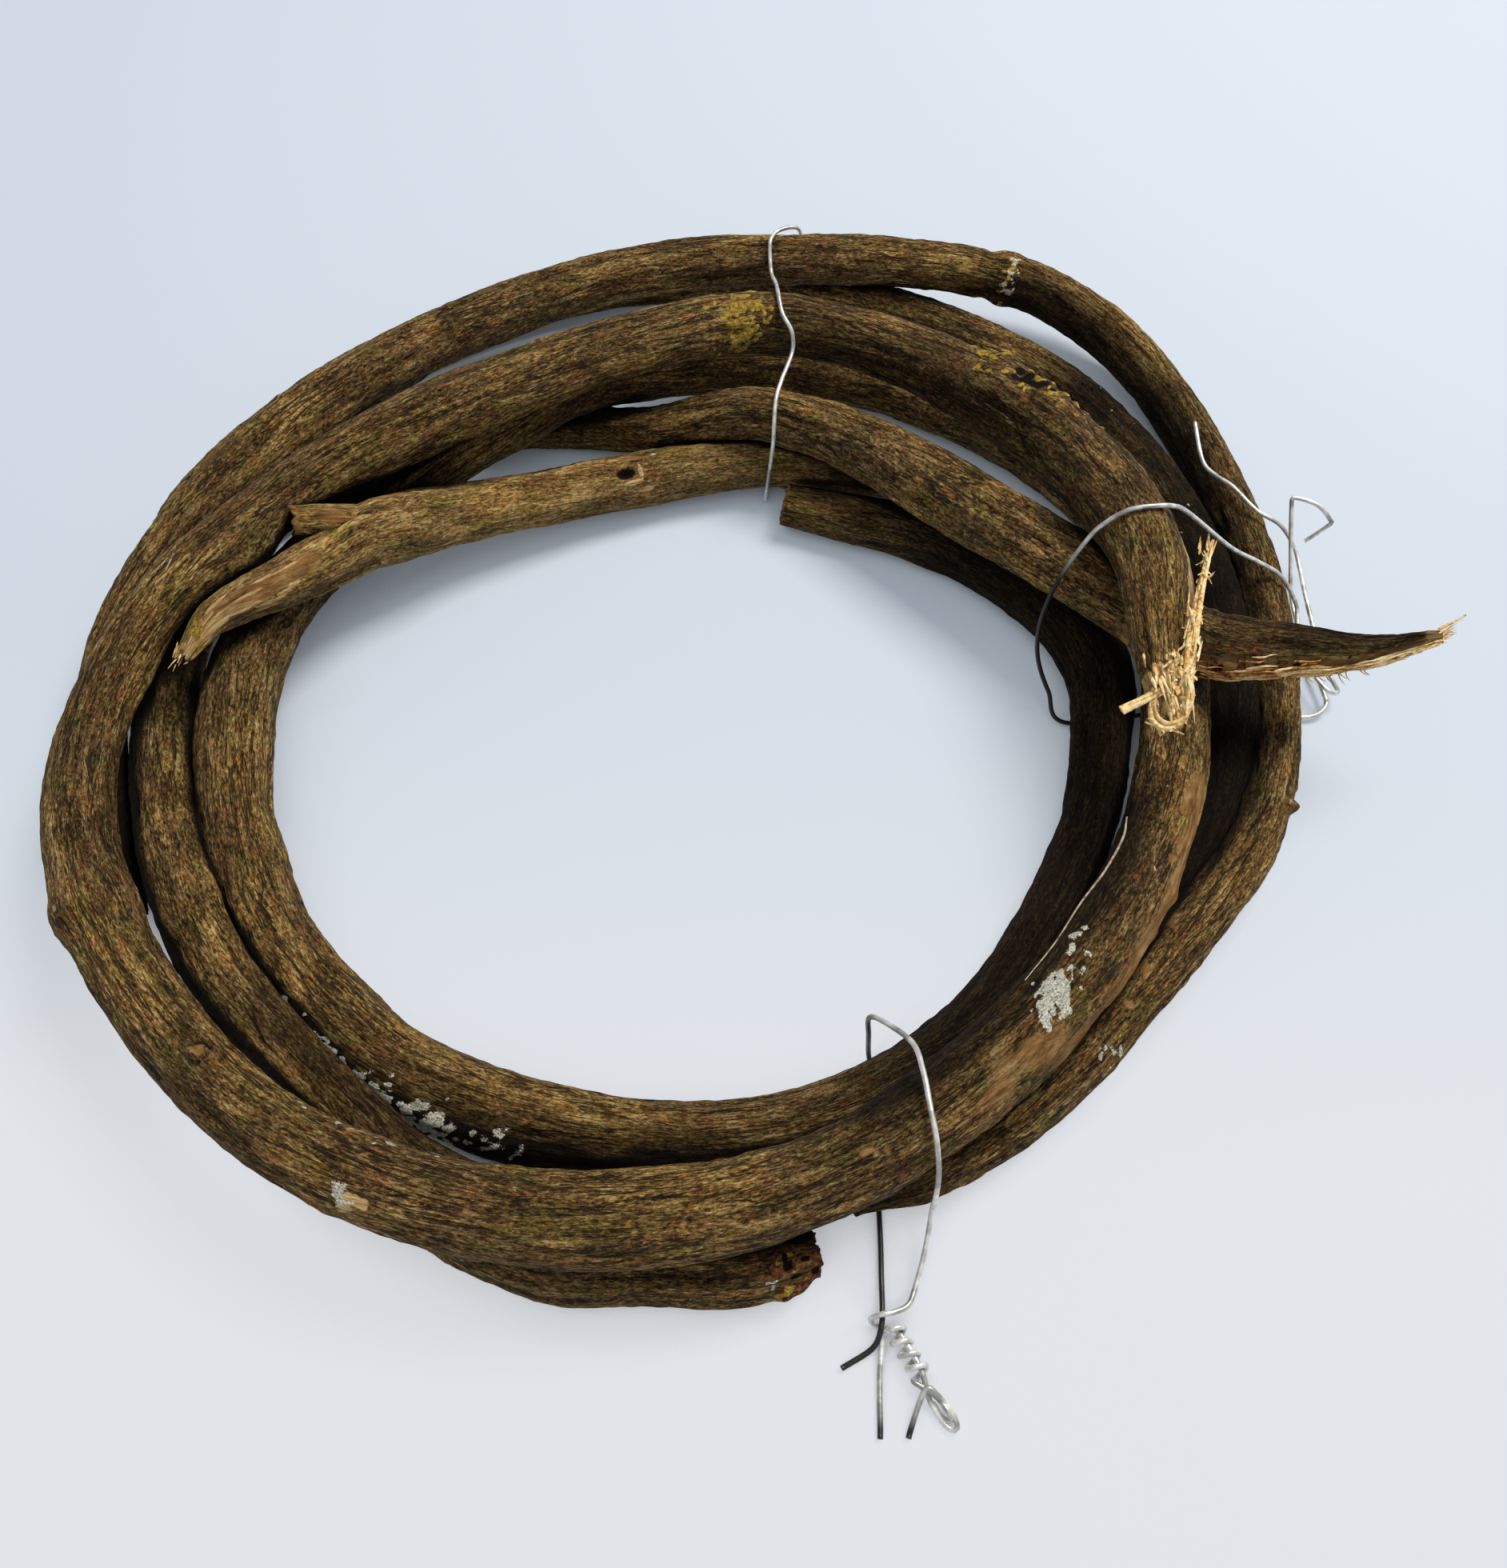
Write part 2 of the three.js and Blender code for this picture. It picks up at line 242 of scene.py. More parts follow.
class Bark:
    """The skin of one stem: its middle line, its radius and how far the bark stands proud."""

    def __init__(self, line, radius, seed, sides):
        self.line, self.radius, self.sides = line, radius, sides
        self.run = run_of(line)
        self.turn = np.arange(sides) / sides  # 0 on top, growing to the left
        self.rng = np.random.default_rng(seed)
        self.proud = np.zeros((len(line), sides))
        self.slide = np.zeros((len(line), sides))
        self.masks = {key: np.zeros((len(line), sides)) for key in MASKS}
        self.ends = [("bare", 0.0), ("bare", 0.0)]
        self.skin = None

    def noise(self, cell, columns, drift=0.0):
        return noise(self.rng, self.run, self.turn, cell * MM, columns, drift)

    def spot(self, at, angle, length, width):
        return spot(self.run, self.turn, self.radius, at, angle, length, width)

    def roughen(self, depth=1.0):
        """Uneven growth, long fibres, fine flakes and small swellings."""
        drift = 0.03 * noise(self.rng, self.run, np.zeros(1), 50 * MM, 1)[:, 0]
        growth = 0.05 * self.radius[:, None]
        swelling = self.noise(38, 3) + 0.7 * self.noise(70, 4, drift) + 0.5 * self.noise(14, 5)
        self.proud += growth * swelling
        fibres = self.noise(15, 19, drift) + 0.7 * self.noise(8, 31, drift)
        self.proud += depth * 0.3 * MM * (fibres - 1.6 * np.maximum(0, -fibres - 0.35))
        flakes = self.noise(2.8, 30) + 0.9 * self.noise(1.7, 43)
        self.proud += depth * 0.14 * MM * flakes
        self.relief = fibres + 0.6 * flakes
        for _ in range(int(self.run[-1] / (17 * MM))):
            at, angle = self.rng.uniform(0, self.run[-1] / MM), self.rng.uniform(0, 360)
            length, width, height = self.rng.uniform((1.2, 1.0, 0.2), (4.0, 2.6, 0.8))
            self.bump(at, angle, length, width, depth * height)

    def bump(self, at, angle, length, width, height):
        self.proud += height * MM * self.spot(at, angle, length, width)

    def swell(self, at, length, height):
        """A thicker stretch, all the way round."""
        self.proud += height * MM * np.exp(-2 * ((self.run - at * MM) / (length * MM)) ** 2)[:, None]

    def bumps(self, *rows):
        """Rows of at, angle, length, width and height."""
        for row in rows:
            self.bump(*row)

    def scatters(self, *rows):
        """Rows of what `scatter` takes, in the order they are drawn."""
        for row in rows:
            self.scatter(*row)

    def taper(self, end, over, share):
        """Thin the last `over` mm before an end (0 or 1) down to `share` of the thickness."""
        away = abs(self.run - self.run[-1] * end)
        self.proud -= (self.radius * (1 - share) * smooth(1 - away / (over * MM)))[:, None]

    def shade(self, start, stop, amount, angle=None, fade=22):
        """Painted shade along a stretch, on one side of the stem or all round it, where the bark lies in
        shadow.
        """
        run = self.run / MM
        along = smooth((run - start + fade) / fade) * smooth((stop + fade - run) / fade)
        around = 1.0
        if angle is not None:
            around = smooth(0.5 + 0.75 * np.cos(2 * math.pi * (self.turn - angle / 360)))
        mask = self.masks["shade"]
        np.maximum(mask, amount * along[:, None] * around, out=mask)

    def mark(self, key, at, angle, length, width, amount=1.0):
        mask = self.masks[key]
        np.maximum(mask, amount * self.spot(at, angle, length, width), out=mask)

    def ring(self, key, at, angle, size, amount):
        """A mark with an open middle."""
        mask = self.masks[key]
        hoop = self.spot(at, angle, size, size) - 1.7 * self.spot(at, angle, 0.55 * size, 0.5 * size)
        np.maximum(mask, amount * hoop, out=mask)

    def scatter(self, key, at, angle, length, width, count, size, height=0.0, amount=1.2):
        """Many small marks over one patch."""
        for _ in range(count):
            along, across = self.rng.normal(0, 0.5, 2)
            degrees = across * width / (2 * math.pi * np.interp(at * MM, self.run, self.radius) / MM) * 360
            long, wide = size * self.rng.uniform(0.5, 1.4, 2)
            self.mark(key, at + along * length, angle + degrees, long, wide, amount)
            self.bump(at + along * length, angle + degrees, long, wide, height)

    def tear(self, end, reach, over, key, hollow=0.8):
        """Break an end (0 or 1) off unevenly, and show `key` on the broken face."""
        away = abs(self.run - self.run[-1] * end)
        share = smooth(1 - away / (over * MM))[:, None]
        ragged = self.noise(1e4, 7) + 0.7 * self.noise(1e4, 17) + 0.5 * self.noise(1e4, 31)
        self.slide += reach * MM * share * ragged
        self.ends[end] = (key, hollow)
        edge = self.masks[key]
        np.maximum(edge, 1.2 * smooth(1.2 - away / (0.35 * over * MM))[:, None] + 0 * edge, out=edge)

    def axes(self):
        ahead, left, top = axes_of(self.line)
        angle = 2 * math.pi * self.turn
        out = np.cos(angle)[None, :, None] * top[:, None] + np.sin(angle)[None, :, None] * left[:, None]
        return ahead, out

    def corners(self):
        ahead, out = self.axes()
        reach = self.radius[:, None] + self.proud
        made = self.line[:, None] + reach[..., None] * out + self.slide[..., None] * ahead[:, None]
        made[..., 2] = np.maximum(made[..., 2], 0)
        return made

    def place(self, at, angle, lift=0.0):
        """A spot on the bark, `lift` mm above it, in metres."""
        row = int(np.searchsorted(self.run, at * MM).clip(0, len(self.run) - 1))
        column = round(angle / 360 * self.sides) % self.sides
        middle = self.line[row]
        if self.skin is None:
            self.skin = self.corners()
        outward = self.skin[row, column] - middle
        return self.skin[row, column] + lift * MM * outward / np.linalg.norm(outward)

    def numbers(self):
        angle = 2 * math.pi * self.turn[None]
        girth = float(np.median(self.radius)) + 0 * self.run[:, None]
        grain = np.stack(
            [girth * np.cos(angle), girth * np.sin(angle), self.run[:, None] + 0 * angle], axis=-1
        )
        return {"grain": grain / MM, "relief": self.relief, **self.masks}

    def piece(self, name, material):
        """The closed mesh, with a shallow rough face at each end."""
        skin = self.corners()
        ahead = self.axes()[0]
        rows, sides = skin.shape[:2]
        corners = [skin.reshape(-1, 3)]
        faces = [tuple(q) for q in ring_faces(rows, sides)]
        numbers = {key: [v.reshape(rows * sides, *v.shape[2:])] for key, v in self.numbers().items()}
        count = rows * sides
        for row, inward, flip in ((0, 1, True), (rows - 1, -1, False)):
            shown, hollow = self.ends[0 if row == 0 else 1]
            middle = skin[row].mean(0) + inward * hollow * MM * ahead[row]
            previous = row * sides
            for share in (0.85, 0.6, 0.35, 0.15):
                rough = self.rng.normal(0, 0.22, sides) * (MM if hollow else 0)
                shrunk = middle + share * (skin[row] - middle) + rough[:, None] * ahead[row]
                corners.append(shrunk)
                for key, values in numbers.items():
                    ring = values[0][row * sides : (row + 1) * sides]
                    values.append(ring + (1.2 if key == shown and hollow else 0))
                for j in range(sides):
                    k = (j + 1) % sides
                    quad = (previous + j, count + j, count + k, previous + k)
                    faces.append(quad[::-1] if flip else quad)
                previous = count
                count += sides
            corners.append(middle[None])
            for key, values in numbers.items():
                values.append(values[-1][:1])
            for j in range(sides):
                fan = (previous + j, count, previous + (j + 1) % sides)
                faces.append(fan[::-1] if flip else fan)
            count += 1
        numbers = {k: np.concatenate(v) for k, v in numbers.items()}
        return mesh_piece(name, np.concatenate(corners), faces, material, numbers)


def stem_bark(node, start_towards, seed, step=BARK_STEP, sides=BARK_SIDES):
    """The bark of one stem, along the middle line of its solid."""
    rows = spaced(middle_line(node, start_towards), step)
    bark = Bark(rows[:, :3], rows[:, 3], seed, sides)
    bark.roughen()
    return bark


# ---- How deep in a gap the bark lies, for the painted shade in gaps ----
LOOK_ROWS = 4
LOOK_SIDES = 4
LOOK_RAYS = 28
LOOK_REACH = 26 * MM
LOOK_LIFT = 0.9 * MM


def sphere_points(count):
    """Directions spread evenly over a sphere."""
    k = np.arange(count) + 0.5
    height = 1 - 2 * k / count
    turn = math.pi * (1 + math.sqrt(5)) * k
    flat = np.sqrt(1 - height**2)
    return np.stack([flat * np.cos(turn), flat * np.sin(turn), height], axis=1)


def find_crevices(barks):
    """Mark each bark with how much of its outlook is blocked by bark: 0 in the open, 1 in a gap."""
    # the bark's colour turns this into painted shade in the gaps
    corners, faces, count, coarse = [], [], 0, []
    for bark in barks:
        skin = bark.corners()[::LOOK_ROWS, ::LOOK_SIDES]
        rows, sides = skin.shape[:2]
        corners += [tuple(c) for c in skin.reshape(-1, 3)]
        faces += [tuple(q) for q in ring_faces(rows, sides) + count]
        count += rows * sides
        coarse.append(skin)
    tree = BVHTree.FromPolygons(corners, faces)
    looks = sphere_points(LOOK_RAYS)
    for bark, skin in zip(barks, coarse):
        out = bark.axes()[1][::LOOK_ROWS, ::LOOK_SIDES]
        ways = out[..., None, :] + 0.98 * looks
        ways /= np.linalg.norm(ways, axis=-1)[..., None]
        eyes = skin + LOOK_LIFT * out
        blocked = np.zeros(skin.shape[:2])
        for i in range(skin.shape[0]):
            for j in range(skin.shape[1]):
                eye = Vector(eyes[i, j])
                for way in ways[i, j]:
                    blocked[i, j] += tree.ray_cast(eye, Vector(way), LOOK_REACH)[0] is not None
        blocked /= LOOK_RAYS
        fine_rows = np.arange(len(bark.run)) / LOOK_ROWS
        by_row = [np.interp(fine_rows, np.arange(len(blocked)), column) for column in blocked.T]
        by_row = np.array(by_row + by_row[:1])
        fine_sides = np.arange(bark.sides) / LOOK_SIDES
        bark.masks["crevice_shade"] = np.array(
            [np.interp(fine_sides, np.arange(len(by_row)), row) for row in by_row.T]
        )


# ---- Splinters, fibres and ribbons of torn wood ----


def closed_tube(skin, line):
    """Corners and faces of a tube from its rings, closed to the first and last points of its line."""
    rows, sides = skin.shape[:2]
    corners = np.concatenate([skin.reshape(-1, 3), line[:1], line[-1:]])
    faces = [tuple(q) for q in ring_faces(rows, sides)]
    last_ring, tips = (rows - 1) * sides, rows * sides
    for j in range(sides):
        k = (j + 1) % sides
        faces += [(j, tips, k), (last_ring + k, tips + 1, last_ring + j)]
    return corners, faces


def fibre(points, width, thick, tip=0.15):
    """Corners and faces of one flat fibre through points in metres, thinning to its tip."""
    line = spaced(points, FIBRE_STEP)
    _, left, top = axes_of(line)
    share = np.linspace(0, 1, len(line))
    size = (1 - (1 - tip) * share**1.6) * np.minimum(1, 0.55 + 3 * share)
    angle = 2 * math.pi * np.arange(FIBRE_SIDES) / FIBRE_SIDES
    across = 0.5 * width * MM * size[:, None] * np.sin(angle)[None]
    above = 0.5 * thick * MM * size[:, None] * np.cos(angle)[None]
    skin = line[:, None] + across[..., None] * left[:, None] + above[..., None] * top[:, None]
    return closed_tube(skin, line)


def fibres_piece(name, made, material):
    """One mesh of many fibres."""
    corners, faces, count = [], [], 0
    for some_corners, some_faces in made:
        corners.append(some_corners)
        faces += [tuple(count + c for c in face) for face in some_faces]
        count += len(some_corners)
    corners = np.concatenate(corners)
    corners[:, 2] = np.maximum(corners[:, 2], 0)
    return mesh_piece(name, corners, faces, material)


def from_axis(*points):
    """Points given in mm from the ring's axis, in metres."""
    return (np.array(points, float) + RING_MIDDLE) * MM


def tuft(rng, root, towards, count, length, spread, width, loose=0.25):
    """Fibres that grow from about one place: `root` and `length` in mm, `spread` round the root."""
    towards = np.array(towards, float) / np.linalg.norm(towards)
    made = []
    for _ in range(count):
        start = np.array(root) + rng.normal(0, 1, 3) * spread
        reach = length * rng.uniform(0.35, 1.15)
        way = towards + loose * rng.normal(0, 1, 3)
        curl = 0.25 * loose * rng.normal(0, 1, 3)
        points = [start + reach * t * way + reach * t * t * curl for t in (0, 0.35, 0.7, 1)]
        made.append(fibre(from_axis(*points), width * rng.uniform(0.5, 1.4), 0.6 * width))
    return made


def wire_piece(name, points, material, dark=()):
    """A smooth round wire through points in mm from the ring's axis, painted dark between some of them."""
    # the dark stretches are painted shade, apart from the dark free ends
    shade = np.zeros(len(points))
    for first, last in dark:
        shade[first : last + 1] = 1
    rows = spaced(np.column_stack([from_axis(*points), shade * MM]), WIRE_STEP)
    line, shade = rows[:, :3], rows[:, 3] / MM
    _, left, top = axes_of(line)
    angle = 2 * math.pi * np.arange(WIRE_SIDES) / WIRE_SIDES
    out = np.cos(angle)[None, :, None] * top[:, None] + np.sin(angle)[None, :, None] * left[:, None]
    skin = line[:, None] + WIRE_RADIUS * out
    skin[..., 2] = np.maximum(skin[..., 2], 0)
    shades = np.concatenate([np.repeat(shade, WIRE_SIDES), shade[:1], shade[-1:]])
    return mesh_piece(name, *closed_tube(skin, line), material, {"shade": shades})


# ---- Materials ----


class Shader:
    """A node material, built by short calls that return sockets."""

    def __init__(self, name):
        self.material = bpy.data.materials.new(name)
        self.material.use_nodes = True
        self.tree = self.material.node_tree
        self.tree.nodes.clear()
        self.surface = self.add("ShaderNodeBsdfPrincipled")
        output = self.add("ShaderNodeOutputMaterial")
        self.tree.links.new(self.surface.outputs[0], output.inputs["Surface"])

    def add(self, kind, **settings):
        node = self.tree.nodes.new(kind)
        for key, value in settings.items():
            setattr(node, key, value)
        return node

    def put(self, socket, value):
        if isinstance(value, bpy.types.NodeSocket):
            self.tree.links.new(value, socket)
        else:
            socket.default_value = value

    def fill(self, node, **values):
        """Set a node's inputs; an underscore in a key stands for a space."""
        for key, value in values.items():
            self.put(node.inputs[key.replace("_", " ")], value)
        return node

    def look(self, **values):
        self.fill(self.surface, **values)

    def stored(self, name, vector=False):
        node = self.add("ShaderNodeAttribute", attribute_name=name)
        return node.outputs["Vector" if vector else "Fac"]

    def math(self, operation, a, b=0.0, c=0.0, clamp=False):
        node = self.add("ShaderNodeMath", operation=operation, use_clamp=clamp)
        for socket, value in zip(node.inputs, (a, b, c)):
            self.put(socket, value)
        return node.outputs[0]

    def stretched(self, vector, scale):
        node = self.add("ShaderNodeVectorMath", operation="MULTIPLY")
        self.put(node.inputs[0], vector)
        node.inputs[1].default_value = scale
        return node.outputs[0]

    def noise(self, vector, scale, detail=4.0, roughness=0.6, distortion=0.0):
        node = self.fill(self.add("ShaderNodeTexNoise"), Vector=vector, Scale=scale, Detail=detail)
        return self.fill(node, Roughness=roughness, Distortion=distortion).outputs["Fac"]

    def between(self, value, low, high):
        """0 below `low`, 1 above `high`, smooth between."""
        node = self.add("ShaderNodeMapRange", interpolation_type="SMOOTHSTEP")
        return self.fill(node, Value=value, From_Min=low, From_Max=high).outputs[0]

    def ramp(self, value, *stops):
        node = self.add("ShaderNodeValToRGB")
        self.put(node.inputs[0], value)
        band = node.color_ramp
        while len(band.elements) < len(stops):
            band.elements.new(0.5)
        for element, (place, colour) in zip(band.elements, stops):
            element.position = place
            element.color = (*colour, 1)
        return node.outputs[0]

    def mix(self, share, a, b, blend="MIX"):
        node = self.add("ShaderNodeMix", data_type="RGBA", blend_type=blend)
        self.put(node.inputs["Factor"], share)
        for socket, value in ((node.inputs[6], a), (node.inputs[7], b)):
            self.put(socket, value if isinstance(value, bpy.types.NodeSocket) else (*value, 1))
        return node.outputs[2]

    def bump(self, height, distance, strength=1.0):
        node = self.fill(self.add("ShaderNodeBump"), Strength=strength, Distance=distance, Height=height)
        self.look(Normal=node.outputs[0])


# ---- Colours on the bark: [place on the noise, colour], or one colour ----
# The first two blacks are painted shade, in clefts and pits and in gaps and shaded stretches; the third
# colours the marks called dark, mostly painted shade in holes and pits.
CLEFT_SHADE_BLACK = (0.007, 0.004, 0.002)
PAINTED_SHADE_BLACK = (0.0025, 0.0015, 0.0008)
HOLE_BLACK = (0.004, 0.002, 0.001)
RUBBED_TONES = (0.32, (0.13, 0.055, 0.014)), (0.5, (0.34, 0.17, 0.05)), (0.68, (0.56, 0.36, 0.16))
RUST_TONES = (0.36, (0.012, 0.005, 0.003)), (0.5, (0.16, 0.05, 0.015)), (0.66, (0.42, 0.19, 0.06))
BARE_TONES = (0.3, (0.2, 0.08, 0.018)), (0.44, (0.52, 0.27, 0.075)), (0.6, (0.86, 0.63, 0.3))
MOSS_TONES = (0.36, (0.09, 0.06, 0.01)), (0.5, (0.42, 0.26, 0.03)), (0.64, (0.68, 0.5, 0.1))
LICHEN_TONES = (0.38, (0.3, 0.27, 0.17)), (0.5, (0.7, 0.68, 0.52)), (0.6, (0.93, 0.91, 0.8))


def bark_material(name, tones, cracks=1.0):
    """Fibrous bark. `tones` are its dark, middle, light and pale colours."""
    s = Shader(name)
    dark, middle, light, pale = tones
    grain = s.stored("grain", vector=True)
    relief = s.stored("relief")

    def streaks(stretch, *look):
        """Noise drawn out along the stem."""
        return s.noise(s.stretched(grain, (1, 1, stretch)), *look)

    def uneven(value, amount, onto):
        """Add `amount` of a noise's swing about its middle."""
        return s.math("MULTIPLY_ADD", s.math("SUBTRACT", value, 0.5), amount, onto)

    def tint(colour, share, factors):
        return s.mix(share, colour, factors, "MULTIPLY")

    # light and dark streaks
    fibres = streaks(0.32, 2.2, 5, 0.78, 0.2)
    strands = streaks(0.12, 0.75, 3, 0.6, 0.4)
    flecks = streaks(0.6, 1.9, 3, 0.65)
    clouds = streaks(0.5, 0.12, 4, 0.6)
    value = uneven(fibres, 3.1, 0.5)
    value = uneven(strands, 1.0, value)
    value = uneven(clouds, 0.4, value)
    value = s.math("MULTIPLY_ADD", relief, 0.09, value)
    colour = s.ramp(value, (0.06, dark), (0.4, middle), (0.7, light), (1.0, pale))

    # greenish, reddish and worn areas
    green = s.between(streaks(0.5, 0.16, 5, 0.65), 0.5, 0.62)
    colour = tint(colour, s.math("MULTIPLY", green, 0.75), (0.72, 0.9, 0.6))
    red = s.between(streaks(0.45, 0.55, 5, 0.7), 0.5, 0.64)
    colour = tint(colour, s.math("MULTIPLY", red, 0.85), (1.1, 0.72, 0.55))
    worn = s.between(streaks(0.6, 0.05, 4, 0.6), 0.42, 0.62)
    colour = s.mix(worn, tint(colour, 1.0, (0.78, 0.76, 0.78)), tint(colour, 1.0, (1.18, 1.15, 1.05)))

    # pale specks, and painted shade in the pits and long clefts, which the bump also sinks
    speck = s.between(flecks, 0.62, 0.72)
    colour = s.mix(s.math("MULTIPLY", speck, 0.5), colour, pale)
    pit = s.between(streaks(0.4, 1.1, 2, 0.5), 0.62, 0.7)
    ridge = s.math("ABSOLUTE", s.math("SUBTRACT", streaks(0.09, 0.42, 4, 0.6, 0.5), 0.5))
    where = s.between(clouds, 0.34, 0.52)
    cleft = s.math("MULTIPLY", s.math("SUBTRACT", 1.0, s.between(ridge, 0.006, 0.04)), where)
    hollow = s.math("MAXIMUM", s.math("MULTIPLY", pit, 0.8), cleft)
    colour = s.mix(s.math("MULTIPLY", hollow, 0.85 * cracks), colour, CLEFT_SHADE_BLACK)

    edge = s.noise(grain, 0.95, 5, 0.74)

    def patch(mask, low, high):
        """Where a stored mask shows, with a broken edge."""
        return s.between(s.math("MULTIPLY_ADD", edge, 0.9, s.stored(mask)), low, high)

    # rubbed and torn places
    tan = s.ramp(streaks(0.25, 0.6, 5, 0.68), *RUBBED_TONES)
    colour = s.mix(patch("rubbed", 0.75, 1.15), colour, tan)
    colour = s.mix(patch("rust", 0.75, 0.95), colour, s.ramp(edge, *RUST_TONES))
    wood = s.ramp(streaks(0.1, 1.5, 5, 0.7), *BARE_TONES)
    colour = s.mix(patch("bare", 0.75, 0.95), colour, wood)

    # painted shade in gaps and on stretches that lie in shadow, and what grows over them
    painted_shade = s.between(s.stored("crevice_shade"), 0.42, 0.76)
    painted_shade = s.math("MAXIMUM", s.math("MULTIPLY", painted_shade, 0.97), s.stored("shade"))
    colour = s.mix(painted_shade, colour, PAINTED_SHADE_BLACK)
    colour = s.mix(patch("moss", 0.8, 1.05), colour, s.ramp(edge, *MOSS_TONES))
    crumbs = s.noise(grain, 2.6, 4, 0.7)
    crust = s.math("MULTIPLY_ADD", crumbs, 1.1, s.math("MULTIPLY_ADD", edge, 0.5, s.stored("lichen")))
    colour = s.mix(s.between(crust, 1.3, 1.45), colour, s.ramp(crumbs, *LICHEN_TONES))
    # marks called dark: painted shade in the knot hole and in the pits and grooves the bumps sink, and dark
    # rings and spots at knots
    colour = s.mix(patch("dark", 0.75, 1.05), colour, HOLE_BLACK)

    roughness = s.math("MULTIPLY_ADD", fibres, 0.2, 0.68)
    roughness = s.math("MULTIPLY_ADD", painted_shade, 0.35, roughness, clamp=True)
    s.look(Base_Color=colour, Roughness=roughness, Specular_IOR_Level=0.15)
    height = s.math("MULTIPLY_ADD", flecks, 0.3, fibres)
    height = s.math("MULTIPLY_ADD", strands, 1.1, height)
    height = s.math("MULTIPLY_ADD", hollow, -0.6 * cracks, height)
    s.bump(height, 1.0 * MM, 0.9)
    return s.material


def torn_material(name, tones):
    """Pale, stringy broken wood. `tones` are its dark, middle and light colours."""
    s = Shader(name)
    place = s.add("ShaderNodeTexCoord").outputs["Object"]
    grain = s.noise(place, 900, 4, 0.65)
    blotch = s.noise(place, 160, 3, 0.6)
    value = s.math("MULTIPLY_ADD", s.math("SUBTRACT", blotch, 0.5), 0.8, grain)
    colour = s.ramp(value, *zip((0.3, 0.46, 0.64), tones))
    s.look(Base_Color=colour, Roughness=0.8, Specular_IOR_Level=0.25)
    s.bump(grain, 0.3 * MM, 0.6)
    return s.material


def wire_material():
    """Galvanised wire, dull and stained in places, and painted near black where stored as shade."""
    s = Shader("wire")
    place = s.add("ShaderNodeTexCoord").outputs["Object"]
    dull = s.noise(place, 400, 3, 0.6)
    zinc = s.ramp(dull, (0.35, (0.6, 0.59, 0.53)), (0.6, (0.93, 0.92, 0.86)))
    stain = s.between(s.noise(place, 120, 3, 0.6), 0.5, 0.62)
    colour = s.mix(s.math("MULTIPLY", stain, 0.6), zinc, (0.12, 0.12, 0.1))
    # painted shade on the stretches that lie in shadow, and the dark free ends
    colour = s.mix(s.stored("shade"), colour, (0.035, 0.035, 0.03))
    s.look(Base_Color=colour, Metallic=0.55, Roughness=s.math("MULTIPLY_ADD", dull, 0.25, 0.25))
    s.bump(dull, 0.06 * MM, 0.5)
    return s.material


# The floor's glow is painted light: stronger at the front, where the cloth takes little lamp light, and
# weaker and bluer at the back.
FLOOR_GLOW_BACK = 0.27
FLOOR_GLOW_FRONT = 0.71
FLOOR_TURNS = (-0.12, 0.06)  # where the floor changes from its front to its back look, in metres
FLOOR_COLOURS = (0.085, 0.09, 0.1), (0.40, 0.425, 0.46)  # front and back
FLOOR_GLOW_COLOURS = (0.94, 0.965, 1.0), (0.76, 0.88, 1.0)
GAP_REACH = 28 * MM
GAP_OPEN = (0.14, 0.5)  # openness at which the glow starts, and is whole


def floor_material():
    """A pale cloth-like floor. Its faint glow is painted light from all round, faded in narrow gaps as
    painted shade.
    """
    s = Shader("pale_floor")
    place = s.add("ShaderNodeTexCoord").outputs["Object"]
    split = s.add("ShaderNodeSeparateXYZ")
    s.put(split.inputs[0], place)
    back = s.between(split.outputs["Y"], *FLOOR_TURNS)
    cloth = s.mix(back, *FLOOR_COLOURS)
    s.look(Base_Color=cloth, Roughness=0.9, Specular_IOR_Level=0.1)
    # painted shade on the floor: the glow fades where its outlook is closed
    opened = s.add("ShaderNodeAmbientOcclusion", samples=2)
    opened.inputs["Distance"].default_value = GAP_REACH
    seen = s.between(opened.outputs["AO"], *GAP_OPEN)
    glow = s.math("MULTIPLY_ADD", back, FLOOR_GLOW_BACK - FLOOR_GLOW_FRONT, FLOOR_GLOW_FRONT)
    glow = s.math("MULTIPLY", glow, seen)
    s.look(Emission_Color=s.mix(back, *FLOOR_GLOW_COLOURS), Emission_Strength=glow)
    return s.material


# ---- Wires: [x, y, height], mm ----

